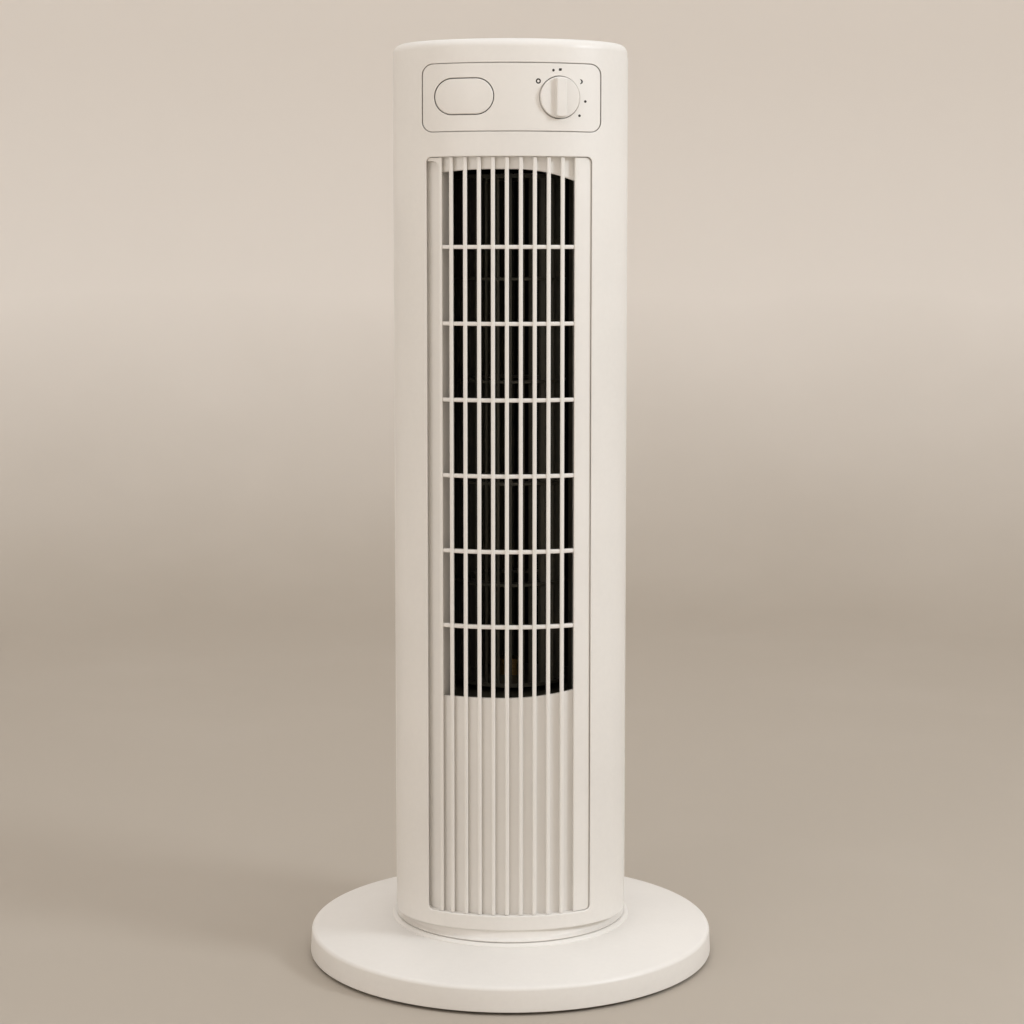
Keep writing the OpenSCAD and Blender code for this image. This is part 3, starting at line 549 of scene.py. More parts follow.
def speckled(name, colour, dark, rough, metallic, scale=900.0):
    """A grainy surface: cast iron or a sintered bush."""
    n = Nodes(name)
    grain = n.noise(scale, 3.0, 0.7)
    n.link(n.colours(grain, (0.35, dark), (0.6, colour)), n.shader.inputs["Base Color"])
    n.link(n.spread(grain, rough - 0.1, rough + 0.1), n.shader.inputs["Roughness"])
    n.link(n.bump(grain, 0.6, 0.0001), n.shader.inputs["Normal"])
    n.shader.inputs["Metallic"].default_value = metallic
    return n.material


IVORY = (0.80, 0.770, 0.728)
ivory_shell = moulded("ivory_shell_abs", IVORY, 0.38)
ivory_grille = moulded("ivory_grille_abs", tinted(IVORY, 1.01), 0.36, mottle=0.02)
ivory_controls = moulded("ivory_controls_abs", tinted(IVORY, 1.01), 0.33, grain_depth=0.00002, mottle=0.02)
mark_ink = moulded("mark_print_ink", (0.020, 0.016, 0.012), 0.6, mottle=0.15)
dark_plastic = moulded("black_polypropylene", (0.072, 0.068, 0.052), 0.5, mottle=0.2, specular=0.3)
grey_plastic = moulded("grey_polypropylene", (0.20, 0.20, 0.20), 0.5, mottle=0.08)
white_nylon = moulded("white_nylon", (0.78, 0.77, 0.72), 0.35, mottle=0.02)
black_rubber = moulded("black_rubber", (0.02, 0.02, 0.02), 0.8, grain=700.0, grain_depth=0.0001, mottle=0.25,
                       specular=0.3)
filter_foam = speckled("open_cell_foam", (0.02, 0.02, 0.019), (0.004, 0.004, 0.004), 0.9, 0.0, 700.0)
cable_sheath = moulded("cable_pvc", (0.03, 0.03, 0.032), 0.42, mottle=0.15)
zinc_steel = metal("zinc_plated_steel", (0.62, 0.63, 0.65), 0.34)
bright_can = metal("drawn_steel_can", (0.60, 0.60, 0.60), 0.28, stretch=(1, 1, 0.05))
laminations = layered("stamped_laminations", (0.32, 0.32, 0.33), (0.05, 0.05, 0.05), 0.0007, 0.9, 0.4)
copper_wire = layered("enamelled_copper", (0.62, 0.24, 0.09), (0.16, 0.05, 0.02), 0.0006, 0.85, 0.3)
cast_weight = speckled("cast_iron_weight", (0.16, 0.155, 0.15), (0.06, 0.06, 0.06), 0.62, 0.6)
sintered_bronze = speckled("sintered_bronze", (0.52, 0.35, 0.15), (0.30, 0.19, 0.08), 0.45, 0.9)

MATERIALS = {
    "ivory_shell": ivory_shell, "ivory_grille": ivory_grille, "ivory_controls": ivory_controls,
    "dark_plastic": dark_plastic, "grey_plastic": grey_plastic, "white_nylon": white_nylon,
    "mark_ink": mark_ink, "black_rubber": black_rubber, "zinc_steel": zinc_steel,
    "filter_foam": filter_foam, "cast_weight": cast_weight, "bright_can": bright_can,
    "laminations": laminations, "copper_wire": copper_wire, "sintered_bronze": sintered_bronze,
    "cable_sheath": cable_sheath,
}


def dress():
    """Gives each CAD node the material of its slot in the record."""
    for part in frame["record"]["subparts"]:
        slots = frame["nodes"][part["node"]].data.materials
        slots.clear()
        slots.append(MATERIALS[part["material_slot"]])


# ---------- camera and light ----------

def add_camera():
    camera = bpy.data.objects.new("camera", bpy.data.cameras.new("camera"))
    bpy.context.scene.collection.objects.link(camera)
    looks_down = 5.027
    camera.data.lens = 75.93
    camera.data.sensor_width = 36.0
    camera.data.shift_y = -0.0703
    camera.location = (0.0013, -1.7816, 0.5862)
    camera.rotation_euler = (math.radians(90 - looks_down), 0, 0)
    bpy.context.scene.camera = camera


def add_area(name, place, aim, size, power, colour):
    data = bpy.data.lights.new(name, "AREA")
    data.shape = "DISK"
    data.size = size
    data.energy = power
    data.color = colour
    lamp = bpy.data.objects.new(name, data)
    bpy.context.scene.collection.objects.link(lamp)
    lamp.location = place
    lamp.rotation_euler = (Vector(aim) - Vector(place)).to_track_quat("-Z", "Y").to_euler()
    lamp.visible_camera = False


def add_stage():
    """A round floor that curves up into a plain wall, far enough out for every view. The wall is painted lighter
    than the floor: painted light on the backdrop.
    """
    flat, cove, height, count = 1600.0, 1000.0, 3200.0, 96
    profile = [(r, 0.0) for r in (0.0, 260.0, 700.0, 1200.0)]
    profile += [(flat + cove * math.sin(t), cove * (1 - math.cos(t)))
                for t in np.linspace(0, math.pi / 2, 17)]
    profile.append((flat + cove, height))
    mesh = Mesh()
    mesh.skin([level(circle(0, 0, r, count), z) for r, z in profile])
    floor = mesh.as_object("studio_floor")
    made = bmesh.new()
    made.from_mesh(floor.data)
    bmesh.ops.remove_doubles(made, verts=made.verts, dist=MERGE)
    for face in made.faces:
        face.smooth = True
    made.to_mesh(floor.data)
    made.free()
    n = Nodes("studio_paint_and_light")
    axes = n.make("ShaderNodeSeparateXYZ")
    n.link(n.place, axes.inputs["Vector"])
    # The colour blends from the darker floor paint to the lighter wall as Z rises; the wall's extra lightness is
    # painted light.
    floor_to_lit_wall, per_metre = n.make("ShaderNodeMath", operation="MULTIPLY_ADD"), 2.0
    n.link(axes.outputs["Z"], floor_to_lit_wall.inputs[0])
    floor_to_lit_wall.inputs[1].default_value = per_metre
    n.link(n.spread(n.noise(3.0, 3.0), -0.04, 0.04), floor_to_lit_wall.inputs[2])
    # wall colour: pale paint brightened with painted light
    floor_paint, wall_paint_and_light = (0.450, 0.395, 0.330), (0.780, 0.720, 0.655)
    n.link(n.colours(floor_to_lit_wall.outputs["Value"], (0.0, floor_paint), (1.0, wall_paint_and_light)),
           n.shader.inputs["Base Color"])
    n.link(n.bump(n.noise(300.0, 2.0), 0.15, 0.0003), n.shader.inputs["Normal"])
    n.shader.inputs["Roughness"].default_value = 0.75
    floor.data.materials.append(n.material)


def add_lights():
    world = bpy.data.worlds.new("studio")
    world.use_nodes = True
    world.node_tree.nodes["Background"].inputs["Color"].default_value = (0.985, 0.99, 1.0, 1)
    world.node_tree.nodes["Background"].inputs["Strength"].default_value = 1.14
    bpy.context.scene.world = world
    add_area("key", (2.05, -1.0, 1.55), (0, 0, 0.4), 0.7, 26.0, (0.86, 0.93, 1.0))
    add_area("fill", (-1.3, -1.85, 0.8), (0, 0, 0.4), 1.6, 10.5, (1.0, 1.0, 1.0))
    bpy.context.scene.view_settings.view_transform = "Standard"


# ---------- base ----------

def make_base_cover():
    """The rim, the shallow cone and the well of the base, with screw tubes and the gland's hole."""
    base_r = (COVER_HIGH[0] - COVER_LOW[0]) / 2
    foot_z, deck_z = COVER_LOW[2], COVER_HIGH[2]
    rim_r, rim_z, wall = base_r - 1.0, 21.9, 3.0
    collar_r, well_r, well_deep, well_wall = 99.0, 86.0, 5.0, 2.5
    profile = rounded([
        (base_r - 3.0, foot_z, 0.3), (base_r, foot_z, 0.7), (rim_r, rim_z, 3.6),
        (collar_r, deck_z, 0), (well_r, deck_z, 0.4), (well_r, deck_z - well_deep, 0.3),
        (well_r + well_wall, deck_z - well_deep, 0.3), (well_r + well_wall, deck_z - wall, 0.3),
        (collar_r, deck_z - wall, 0), (rim_r - 5, rim_z - wall, 1.5)], 7)
    mesh = Mesh()
    lathe(mesh, profile, 192)
    screw_ring, bore_r, tube_r, tube_low, tube_high = 146.0, 1.6, 4.5, 5.0, 22.4
    for x, y in circle(0, 0, screw_ring, 6):
        lathe(mesh, [(bore_r, tube_low), (tube_r, tube_low), (tube_r + 0.2, tube_high), (bore_r, tube_high)],
              32, lambda row, x=x, y=y: row + np.array([x, y, 0.0]))
    cover = new_piece("base_cover_skin", mesh, "base", ["base_cover"], "ivory_shell")
    gland_low, gland_high = span("cord_inlet")
    gland_z, gland_r, hole_y, hole_deep = (gland_low[2] + gland_high[2]) / 2, 5.1, gland_low[1] - 3, 40
    hole = Mesh()
    raised(hole, circle(0, gland_z, gland_r, 48), [(0, 0), (0, hole_deep)],
           lambda row: np.column_stack([row[:, 0], hole_y + row[:, 2], row[:, 1]]))
    drill(cover, hole)


def drill(piece, mesh):
    """Cuts a closed mesh out of a piece."""
    cutter = mesh.as_object("drill")
    clean(cutter)
    cut = piece.modifiers.new("drill", "BOOLEAN")
    cut.operation = "DIFFERENCE"
    cut.solver = "EXACT"
    cut.object = cutter
    graph = bpy.context.evaluated_depsgraph_get()
    made = bpy.data.meshes.new_from_object(piece.evaluated_get(graph))
    piece.modifiers.clear()
    piece.data = made
    bpy.data.objects.remove(cutter)
    clean(piece)


def make_collar():
    collar_r, top, low, inner = COLLAR_HIGH[0], COLLAR_HIGH[2], COLLAR_LOW[2], 86.5
    mesh = Mesh()
    lathe(mesh, rounded([
        (inner, low, 0.2), (collar_r, low, 0), (collar_r - 0.2, low + 0.8, 0.3),
        (collar_r - 2.6, top, 0.8), (inner, top, 0.3)], 5), 192)
    new_piece("collar_ring_skin", mesh, "base", ["collar_ring"], "ivory_shell")


def make_turntable():
    """The neck under the column, with the web and the hub that turn on the post."""
    neck_r = (NECK_HIGH[0] - NECK_LOW[0]) / 2
    low, top, inner, web_z = COLLAR_HIGH[2] + 0.4, FOOT_Z, 84.5, FOOT_Z - 4.0
    bore_r, hub_r = 12.05, 17
    cove = arc(neck_r + 12, top + 2, 17, 208, 191, 10)
    mesh = Mesh()
    body = [(inner, top), (inner, low), (neck_r - 0.4, low), (neck_r, low + 0.4), (neck_r, low + 0.9)]
    lathe(mesh, body + [tuple(p) for p in cove] + [(neck_r - 4.6, top)], 192)
    lathe(mesh, [(bore_r, web_z), (inner + 1, web_z), (inner + 1, top), (bore_r, top)], 96)
    lathe(mesh, rounded([(bore_r, NECK_LOW[2], 0.3), (hub_r, NECK_LOW[2], 0.5),
                         (hub_r, NECK_HIGH[2], 0.5), (bore_r, NECK_HIGH[2], 0.3)], 3), 64)
    new_piece("turntable_skin", mesh, "column", ["turntable"], "ivory_shell")


# ---------- column shells ----------

# The way the walls of an opening run into the column, in front and behind.
DRAW_FRONT = (0.0, 1.0, 0.0)
DRAW_REAR = (0.0, -1.0, 0.0)
SKIRT_T = 1.8
RECESS = (GRILLE_LOW[0] + SKIRT_T, GRILLE_HIGH[0] - SKIRT_T, GRILLE_LOW[2] + SKIRT_T,
          GRILLE_HIGH[2] - SKIRT_T)
RECESS_R = 4.0
FLOOR_SET = 6.5
PANEL_LAP = 3.2
PANEL = (PANEL_LOW[0] + PANEL_LAP, PANEL_HIGH[0] - PANEL_LAP, PANEL_LOW[2] + PANEL_LAP,
         PANEL_HIGH[2] - PANEL_LAP)
PANEL_GAP = 0.7
PANEL_R = 8.0


def screw_tubes(mesh, shape, out, y0, outer, inner):
    """Screw columns that stand on the inner face of a shell and end at y0."""
    for x, z in SCREWS:
        rows = []
        for radius, deep in ((inner, False), (outer, False), (outer, True), (inner, True)):
            ring = circle(x, z, radius, 32)
            y = shape.at(shape.u_at(ring[:, 0], out), ring[:, 1], out)[:, 1] if deep else np.full(32, y0)
            rows.append(np.column_stack([ring[:, 0], y, ring[:, 1]]))
        mesh.rings(rows, capped=False)


def shell_edge(shape, side, top, foot=1.0):
    """The outer edge of half the column for plate(), with its fillets at the sides, top and foot."""
    end = shape.end
    loop = densify(rounded([(-end, FOOT_Z, 1.4), (end, FOOT_Z, 1.4), (end, SHELL_TOP, 0),
                            (-end, SHELL_TOP, 0)], 5))
    fillet = np.where(loop[:, 1] < FOOT_Z + 0.1, foot, side)
    return loop, np.where(loop[:, 1] > SHELL_TOP - 0.1, top, fillet), None


def make_front_shell():
    """The front, with the walled recess of the grille and the panel's window."""
    recess = by_x(FRONT, 0, soft_rect(*RECESS, RECESS_R))
    panel = (PANEL[0] - PANEL_GAP, PANEL[1] + PANEL_GAP, PANEL[2] - PANEL_GAP, PANEL[3] + PANEL_GAP)
    window = by_x(FRONT, 0, soft_rect(*panel, PANEL_R + PANEL_GAP, 10))
    mesh = Mesh()
    plate(mesh, FRONT, 0, WALL, shell_edge(FRONT, 0.35, 0.0),
          [(recess, 0.6, DRAW_FRONT, (FLOOR_SET, SKIRT_T)), (window, 0.3, DRAW_FRONT)])
    screw_tubes(mesh, FRONT, -WALL + 0.5, SEAM_Y, 5.0, 1.6)
    new_piece("front_shell_skin", mesh, "column", ["front_shell"], "ivory_shell")


def make_rear_shell():
    """The back, with its intake slots, the hole for the grip, screw holes and ribs behind the slots."""
    slots, slot_z, pitch, slot_h, slot_x = 35, 229.0, 12.0, 6.0, 67.0
    holes = []
    for k in range(slots):
        z = slot_z + pitch * k
        slot = soft_rect(-slot_x, slot_x, z, z + slot_h, 2.9, 4)
        holes.append((by_x(REAR, SEAM_STEP, slot), 0.7, DRAW_REAR))
    gap = 0.4
    grip = soft_rect(GRIP_LOW[0] - gap, GRIP_HIGH[0] + gap, GRIP_LOW[2] - gap, GRIP_HIGH[2] + gap, 9.4, 8)
    holes.append((by_x(REAR, SEAM_STEP, grip), 0.8, DRAW_REAR))
    tube_r, hole_r = 6.0, 4.0
    holes += [(by_x(REAR, SEAM_STEP, circle(x, z, hole_r, 40)), 0.5, DRAW_REAR) for x, z in SCREWS]
    mesh = Mesh()
    plate(mesh, REAR, SEAM_STEP, WALL, shell_edge(REAR, 0.5, 0.4), holes)
    screw_tubes(mesh, REAR, SEAM_STEP - WALL + 0.6, SEAM_Y, tube_r, hole_r)
    for x, z in SCREWS:
        lathe(mesh, [(1.8, 0.0), (5.0, 0.0), (5.0, 6.0), (1.8, 6.0)], 32,
              lambda row, x=x, z=z: np.column_stack([x + row[:, 0], SEAM_Y + row[:, 2], z + row[:, 1]]))
    inner, rib, rib_deep = SEAM_STEP - WALL, 1.5, 3.2
    for x in (-45.0, -15.0, 15.0, 45.0):
        rows = []
        for z in np.linspace(slot_z - 4, slot_z + pitch * slots + 2, 3):
            back = REAR.at(REAR.u_at(np.array([x - rib, x + rib]), inner), z, inner + 0.3)
            front = back - np.array([0, rib_deep, 0])
            rows.append(np.array([back[0], back[1], front[1], front[0]]))
        mesh.rings(rows)
    new_piece("rear_shell_skin", mesh, "column", ["rear_shell"], "ivory_shell")


def full_outline(out):
    """The whole column outline moved outwards, as (x, y) points."""
    front = FRONT.at(np.linspace(-FRONT.u[-2], FRONT.u[-2], 91), 0.0, out)
    rear = REAR.at(np.linspace(REAR.u[-2], -REAR.u[-2], 91), 0.0, out)
    return np.concatenate([front, rear])[:, :2]


def make_top_cap():
    """A lid with a rounded edge, and a skirt that stands inside the shells."""
    radius, lid_t, skirt_t, skirt_deep = 7.0, 3.0, 2.0, 5.0
    levels = [(0.0, SHELL_TOP), (0.0, TOP_Z - radius - 0.4)] + shoulder(radius, TOP_Z, 12)
    top = [level(full_outline(-inset), z) for inset, z in levels]
    last = full_outline(-radius)
    top += [level(last * share, TOP_Z) for share in (0.97, 0.75, 0.45, 0.15)]
    skirt, under = full_outline(-WALL - 0.3), full_outline(-WALL - 0.3 - skirt_t)
    bottom = [level(under * share, TOP_Z - lid_t) for share in (0.15, 0.6, 1.0)]
    bottom += [level(under, SHELL_TOP - skirt_deep), level(skirt, SHELL_TOP - skirt_deep),
               level(skirt, SHELL_TOP)]
    mesh = Mesh()
    outer = mesh.skin(top)
    mesh.cap(outer[-1])
    inner = mesh.skin(bottom)
    mesh.cap(inner[0])
    mesh.strip(inner[-1], outer[0])
    new_piece("top_cap_skin", mesh, "column", ["top_cap"], "ivory_shell")


def make_grip_cup():
    """A finger cup that follows the back of the shell, with rolled lips."""
    x0, x1, z0, z1 = GRIP_LOW[0], GRIP_HIGH[0], GRIP_LOW[2], GRIP_HIGH[2]
    floor_y = GRIP_LOW[1]
    outer = densify(soft_rect(x0, x1, z0, z1, 9, 8))
    left = left_of(outer)

    def ring(inset, y=None, out=0.0):
        flat = outer + left * inset
        if y is None:
            y_at = REAR.at(REAR.u_at(flat[:, 0], out), 0.0, out)[:, 1]
        else:
            y_at = np.full(len(flat), y)
        return np.column_stack([flat[:, 0], y_at, flat[:, 1]])

    lip, wall, fillet = SEAM_STEP - 0.3, 2.5, 3.0
    rows = [ring(0.0, floor_y + 1.0), ring(0.0, None, lip - 0.8), ring(0.25, None, lip - 0.2),
            ring(0.8, None, lip), ring(1.7, None, lip), ring(wall - 0.25, None, lip - 0.2),
            ring(wall, None, lip - 0.8)]
    rows += [ring(wall + fillet * (1 - math.cos(t)), floor_y + wall + fillet * (1 - math.sin(t)))
             for t in np.linspace(0, math.pi / 2, 6)]
    mesh = Mesh()
    numbers = mesh.skin(rows)
    mesh.cap(numbers[-1])
    low = mesh.add(ring(1.0, floor_y))
    mesh.strip(numbers[0], low)
    mesh.cap(low)
    new_piece("grip_cup_skin", mesh, "column", ["grip_cup"], "ivory_shell")


# ---------- grille ----------

# Depths are measured from the front's face.
FLOOR_T = 2.5
FIN_SET = 1.8
FIN_BACK = 11.8
FIN_T = 3.2
FINS = [-55.0] + [-46.4 + 10.92 * k for k in range(10)]
FIN_GAP = 0.4
BAR_Z = [287.9 + 60.14 * k for k in range(6)]
BAR_H = 3.2
BAR_SET = 3.0
BAR_DEPTH = 4.0
OUTLET = (-54.0, 51.2, 230.3, 649.1)  # left, right, bottom and top
LEVEL = (-16.0, 3.0)  # the level stretch of its upper edge
LEFT_R, RIGHT_R = 310.0, 129.0  # how its upper edge curves down on each side
LOW_X, LOW_R = -7.0, 330.0  # where its lower edge starts to curve up, and how


def outlet_loop():
    """Straight sides, a level upper edge that curves down towards both sides, and a level lower edge
    that curves up towards the right."""
    x0, x1, z0, z1 = OUTLET
    right = math.degrees(math.asin((x1 - LEVEL[1]) / RIGHT_R))
    left = math.degrees(math.asin((LEVEL[0] - x0) / LEFT_R))
    low = math.degrees(math.asin((x1 - LOW_X) / LOW_R))
    return np.concatenate([
        arc(LEVEL[1], z1 - RIGHT_R, RIGHT_R, 90 - right, 90, 24),
        arc(LEVEL[0], z1 - LEFT_R, LEFT_R, 90, 90 + left, 12),
        [[x0, z0]],
        arc(LOW_X, z0 + LOW_R, LOW_R, 270, 270 + low, 20)])


def make_tray():
    """The floor between the fins, with the outlet."""
    outer = soft_rect(RECESS[0] - SKIRT_T, RECESS[1] + SKIRT_T, RECESS[2] - SKIRT_T, RECESS[3] + SKIRT_T,
                      RECESS_R + SKIRT_T)
    mesh = Mesh()
    plate(mesh, FRONT, -FLOOR_SET, FLOOR_T, (by_x(FRONT, -FLOOR_SET, outer), 0.2, DRAW_FRONT),
          [(by_x(FRONT, -FLOOR_SET, outlet_loop()), 0.9, DRAW_FRONT)])
    new_piece("grille_tray", mesh, "column", ["front_grille"], "ivory_grille")


def front_y(x, out):
    """The Y of the front's face, moved outwards by out, at a sideways place."""
    return FRONT.at(FRONT.u_at(np.array([x]), out), 0.0, out)[0, 1]


def fin_profile(x):
    """A fin's outline from above: straight flanks, and a front edge that is rounded off."""
    x0, x1 = x - FIN_T / 2, x + FIN_T / 2
    return rounded([(x0, front_y(x0, -FIN_SET), 0.9), (x1, front_y(x1, -FIN_SET), 0.9),
                    (x1, front_y(x1, -FIN_BACK), 0.4), (x0, front_y(x0, -FIN_BACK), 0.4)])


def make_fins():
    mesh = Mesh()
    z0, z1 = RECESS[2] + FIN_GAP, RECESS[3] - FIN_GAP
    for x in FINS:
        mesh.rings([level(fin_profile(x), z) for z in (z0, z1)])
    new_piece("grille_fins", mesh, "column", ["front_grille"], "ivory_grille")


def make_bars():
    """Cross bars that follow the front's curve, with rounded edges."""
    section = rounded([(-BAR_SET, -BAR_H / 2, 0.9), (-BAR_SET, BAR_H / 2, 0.9),
                       (-BAR_SET - BAR_DEPTH, BAR_H / 2, 0.5), (-BAR_SET - BAR_DEPTH, -BAR_H / 2, 0.5)], 5)
    mesh = Mesh()
    along = FRONT.u_at(np.linspace(FINS[0], FINS[-1], 41), -BAR_SET)
    for z in BAR_Z:
        mesh.rings([FRONT.at(np.full(len(section), u), z + section[:, 1], section[:, 0]) for u in along])
    new_piece("grille_bars", mesh, "column", ["front_grille"], "ivory_grille")


def make_flange():
    """The raised strip right of the last fin, and the web over the first groove."""
    mesh = Mesh()
    thick = FLOOR_SET - FIN_SET + 1
    x1, z0, z1 = RECESS[1] - FIN_GAP, RECESS[2] + FIN_GAP, RECESS[3] - FIN_GAP
    x0 = FINS[-1] + FIN_T / 2 - 0.6
    strip = rounded([(x0, z0, 0), (x1, z0, 3.6), (x1, z1, 3.6), (x0, z1, 0)])
    plate(mesh, FRONT, -FIN_SET, thick, (by_x(FRONT, -FIN_SET, strip), 0.35, DRAW_FRONT))
    left, right, drop = RECESS[0] + FIN_GAP, FINS[0] - FIN_T / 2 + 0.5, RECESS[3] - 3.0
    web = rounded([(right, z1, 0), (left, z1, 2.4), (left, drop, 0), (right - 0.5, drop, 5.0),
                   (right - 0.5, drop - 6.0, 0), (right, drop - 6.0, 0)])
    plate(mesh, FRONT, -FIN_SET, thick, (by_x(FRONT, -FIN_SET, web), 0.3, DRAW_FRONT))
    new_piece("grille_flange", mesh, "column", ["front_grille"], "ivory_grille")


def ribbon(path, thick):
    """The outline of a wall that follows a path."""
    path = np.array(path, float)
    way = np.gradient(path, axis=0)
    side = unit(np.column_stack([-way[:, 1], way[:, 0]])) * thick / 2
    return np.concatenate([path + side, (path - side)[::-1]])


def make_throat():
    """Two walls that lead the air from the duct to the outlet; the left one opens out at its front."""
    mesh = Mesh()
    thick, duct_deep = 2.0, 42
    x0, x1, z0, z1 = OUTLET
    middle, back = -FLOOR_SET - FLOOR_T / 2, front_y(x0, 0) + duct_deep
    left = front_y(x0, middle)
    for path in ([(x0 - 1, left), (x0 + 7, left + 9), (x0 + 7.6, back)],
                 [(x1 + 1, front_y(x1, middle)), (x1, back)]):
        mesh.rings([level(ribbon(path, thick), z) for z in np.linspace(z0 - 2, z1 + 2, 5)])
    new_piece("grille_throat", mesh, "column", ["front_grille"], "ivory_grille")


# ---------- controls ----------

KNOB = np.array(joint("knob_turn")["pos_m"]) / MM
KNOB_OUT = np.array(joint("knob_turn")["axis"])
KNOB_RIGHT = np.cross(UP, KNOB_OUT)
KNOB_R = (KNOB_HIGH[2] - KNOB_LOW[2]) / 2
WELL_R = KNOB_R + 0.7
BUTTON_X = (BUTTON_LOW[0] + BUTTON_HIGH[0]) / 2
BUTTON_Z = (BUTTON_LOW[2] + BUTTON_HIGH[2]) / 2
BUTTON_W = BUTTON_HIGH[0] - BUTTON_LOW[0]
BUTTON_H = BUTTON_HIGH[2] - BUTTON_LOW[2]
BUTTON_GAP = 0.7


def on_knob(row):
    """Points drawn in the knob's own plane, with their height along its axis."""
    return KNOB + row[:, :1] * KNOB_RIGHT + row[:, 1:2] * UP + row[:, 2:] * KNOB_OUT


def knob_loop(radius, count=64):
    """A circle round the knob as (u, z) points on the front face."""
    flat = circle(0, 0, radius, count)
    return np.stack([FRONT.u_at(KNOB[0] + flat[:, 0] * KNOB_RIGHT[0]), KNOB[2] + flat[:, 1]], -1)


def stadium(width, height, steps=14):
    return soft_rect(BUTTON_X - width / 2, BUTTON_X + width / 2, BUTTON_Z - height / 2,
                     BUTTON_Z + height / 2, height / 2 - 0.05, steps)


def make_control_panel():
    """The panel's face, the lap behind the shell round it, and the cup that the knob sits in."""
    mesh = Mesh()
    gap = 2 * BUTTON_GAP
    button_hole = stadium(BUTTON_W + gap, BUTTON_H + gap)
    into = -KNOB_OUT
    plate(mesh, FRONT, 0, WALL + 0.3, (by_x(FRONT, 0, soft_rect(*PANEL, PANEL_R, 10)), 0.3, DRAW_FRONT),
          [(by_x(FRONT, 0, button_hole), 0.4, DRAW_FRONT), (knob_loop(WELL_R), 0.35, into)], 4.0, 5.0)
    lap = (PANEL[0] - PANEL_LAP, PANEL[1] + PANEL_LAP, PANEL[2] - PANEL_LAP, PANEL[3] + PANEL_LAP)
    back, lap_t = -WALL - 0.35, 2.0
    lap_edge = by_x(FRONT, back, soft_rect(*lap, PANEL_R + PANEL_LAP))
    plate(mesh, FRONT, back, lap_t, (lap_edge, 0.3, DRAW_FRONT),
          [(by_x(FRONT, back, button_hole), 0.3, DRAW_FRONT), (knob_loop(WELL_R), 0.3, into)], 6.0, 6.0)
    cup_r, bore_r, cup_top, cup_floor, cup_low = WELL_R + 1.7, 3.6, -2.3, -5.0, -7.0
    lathe(mesh, [(WELL_R, cup_top), (cup_r, cup_top), (cup_r, cup_low), (bore_r, cup_low),
                 (bore_r, cup_floor), (WELL_R, cup_floor)], 64, on_knob)
    new_piece("control_panel_skin", mesh, "column", ["control_panel"], "ivory_controls")


def make_button():
    """A long oval push button, slightly crowned, on a short plunger. Its back and the plunger's boss
    stay clear of the spring when it is pressed."""
    outline = densify(stadium(BUTTON_W, BUTTON_H), 2.0, 2.0)
    left = left_of(outline)
    centre = np.array([BUTTON_X, BUTTON_Z])
    proud, crown, radius, back = 0.15, 0.55, 0.9, -3.8

    def ring(flat, out):
        return FRONT.at(FRONT.u_at(flat[:, 0], out), flat[:, 1], out)

    rows = [ring(outline, back), ring(outline, proud - radius)]
    for t in np.linspace(math.pi / 12, math.pi / 2, 6):
        rows.append(ring(outline + left * radius * (1 - math.cos(t)), proud - radius + radius * math.sin(t)))
    last = outline + left * radius
    for share in (0.93, 0.8, 0.6, 0.4, 0.2, 0.05):
        rows.append(ring(centre + (last - centre) * share, proud + (crown - proud) * (1 - share ** 2)))
    mesh = Mesh()
    mesh.rings(rows)
    face = front_y(BUTTON_X, 0.0)

    def plunger(row):
        return np.column_stack([BUTTON_X + row[:, 0], face + row[:, 2], BUTTON_Z + row[:, 1]])

    boss_r, boss, stem_r, stem = 6.5, (2.8, 6.4), 3.0, (6.3, 14.0)
    raised(mesh, circle(0, 0, boss_r, 48), [(0, y) for y in boss], plunger)
    raised(mesh, circle(0, 0, stem_r, 32), [(0, stem[0]), (0, stem[1] - 0.3), (0.3, stem[1])], plunger)
    new_piece("push_button_skin", mesh, "button", ["push_button"], "ivory_controls")


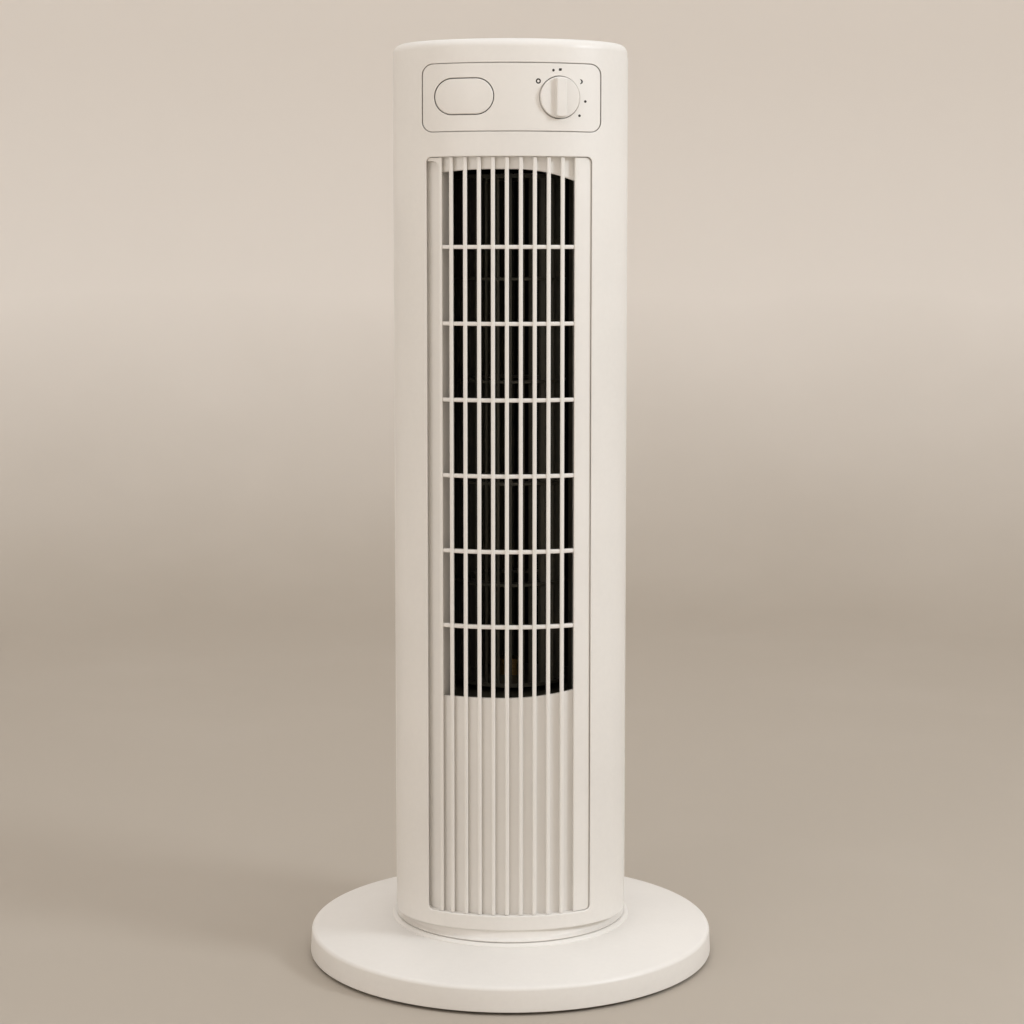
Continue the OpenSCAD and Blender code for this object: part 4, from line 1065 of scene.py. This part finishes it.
def make_knob():
    """A round knob with a raised grip ridge across it."""
    mesh = Mesh()
    disc_h, ridge_h, half, reach = 1.6, 5.6, 4.3, KNOB_R - 0.75
    disc = [(0.4, -4.4), (0, -4.0)] + shoulder(0.5, disc_h)
    raised(mesh, circle(0, 0, KNOB_R, 96), disc, on_knob)
    side = math.degrees(math.acos(half / reach))
    ridge = np.concatenate([
        arc(0, 0, reach, side, 180 - side, 10), arc(0, 0, reach, 180 + side, 360 - side, 10)])
    levels = [(0, 1.0), (0, 1.7)] + [(0.2 + i, h) for i, h in shoulder(0.8, ridge_h, 7)]
    raised(mesh, densify(ridge, 2.0, 2.0), levels, on_knob)
    new_piece("speed_knob_skin", mesh, "knob", ["speed_knob"], "ivory_controls")


def make_marks():
    """Small printed marks on a ring round the knob: a ring, a dot, a square, a crescent, two dots."""
    ring_r, proud, thick, cell = 21.4, 0.04, 0.25, 0.8
    mesh = Mesh()

    def spot(angle):
        a = math.radians(angle)
        return ring_r * math.cos(a), ring_r * math.sin(a)

    def on_panel(flat):
        x = KNOB[0] + flat[:, 0] * KNOB_RIGHT[0]
        return np.stack([FRONT.u_at(x, proud), KNOB[2] + flat[:, 1]], -1)

    def mark(outline, *holes):
        edge, *inner = [(on_panel(loop), 0.0, None) for loop in (outline, *holes)]
        plate(mesh, FRONT, proud, thick, edge, inner, cell, cell)

    mark(circle(*spot(145), 2.1, 32), circle(*spot(145), 1.0, 32))
    for angle in (104, -7, -40):
        mark(circle(*spot(angle), 1.05, 24))
    x, y = spot(89)
    mark(rounded([(x - 1.3, y - 1.0, 0.4), (x + 1.1, y - 1.0, 0.4), (x + 1.5, y + 1.0, 0.4),
                  (x - 0.9, y + 1.0, 0.4)], 4))
    x, y = spot(36)
    mark(np.concatenate([arc(x, y, 1.8, -110, 110, 20), arc(x - 1.4, y, 1.9, 60, -60, 12)]))
    new_piece("dial_marks_print", mesh, "column", ["dial_marks"], "mark_ink")


# ---------- everything ----------

add_camera()
add_stage()
add_lights()

make_base_cover()
make_collar()
make_turntable()
make_front_shell()
make_rear_shell()
make_top_cap()
make_grip_cup()
make_tray()
make_fins()
make_bars()
make_flange()
make_throat()
make_control_panel()
make_button()
make_knob()
make_marks()

dress()
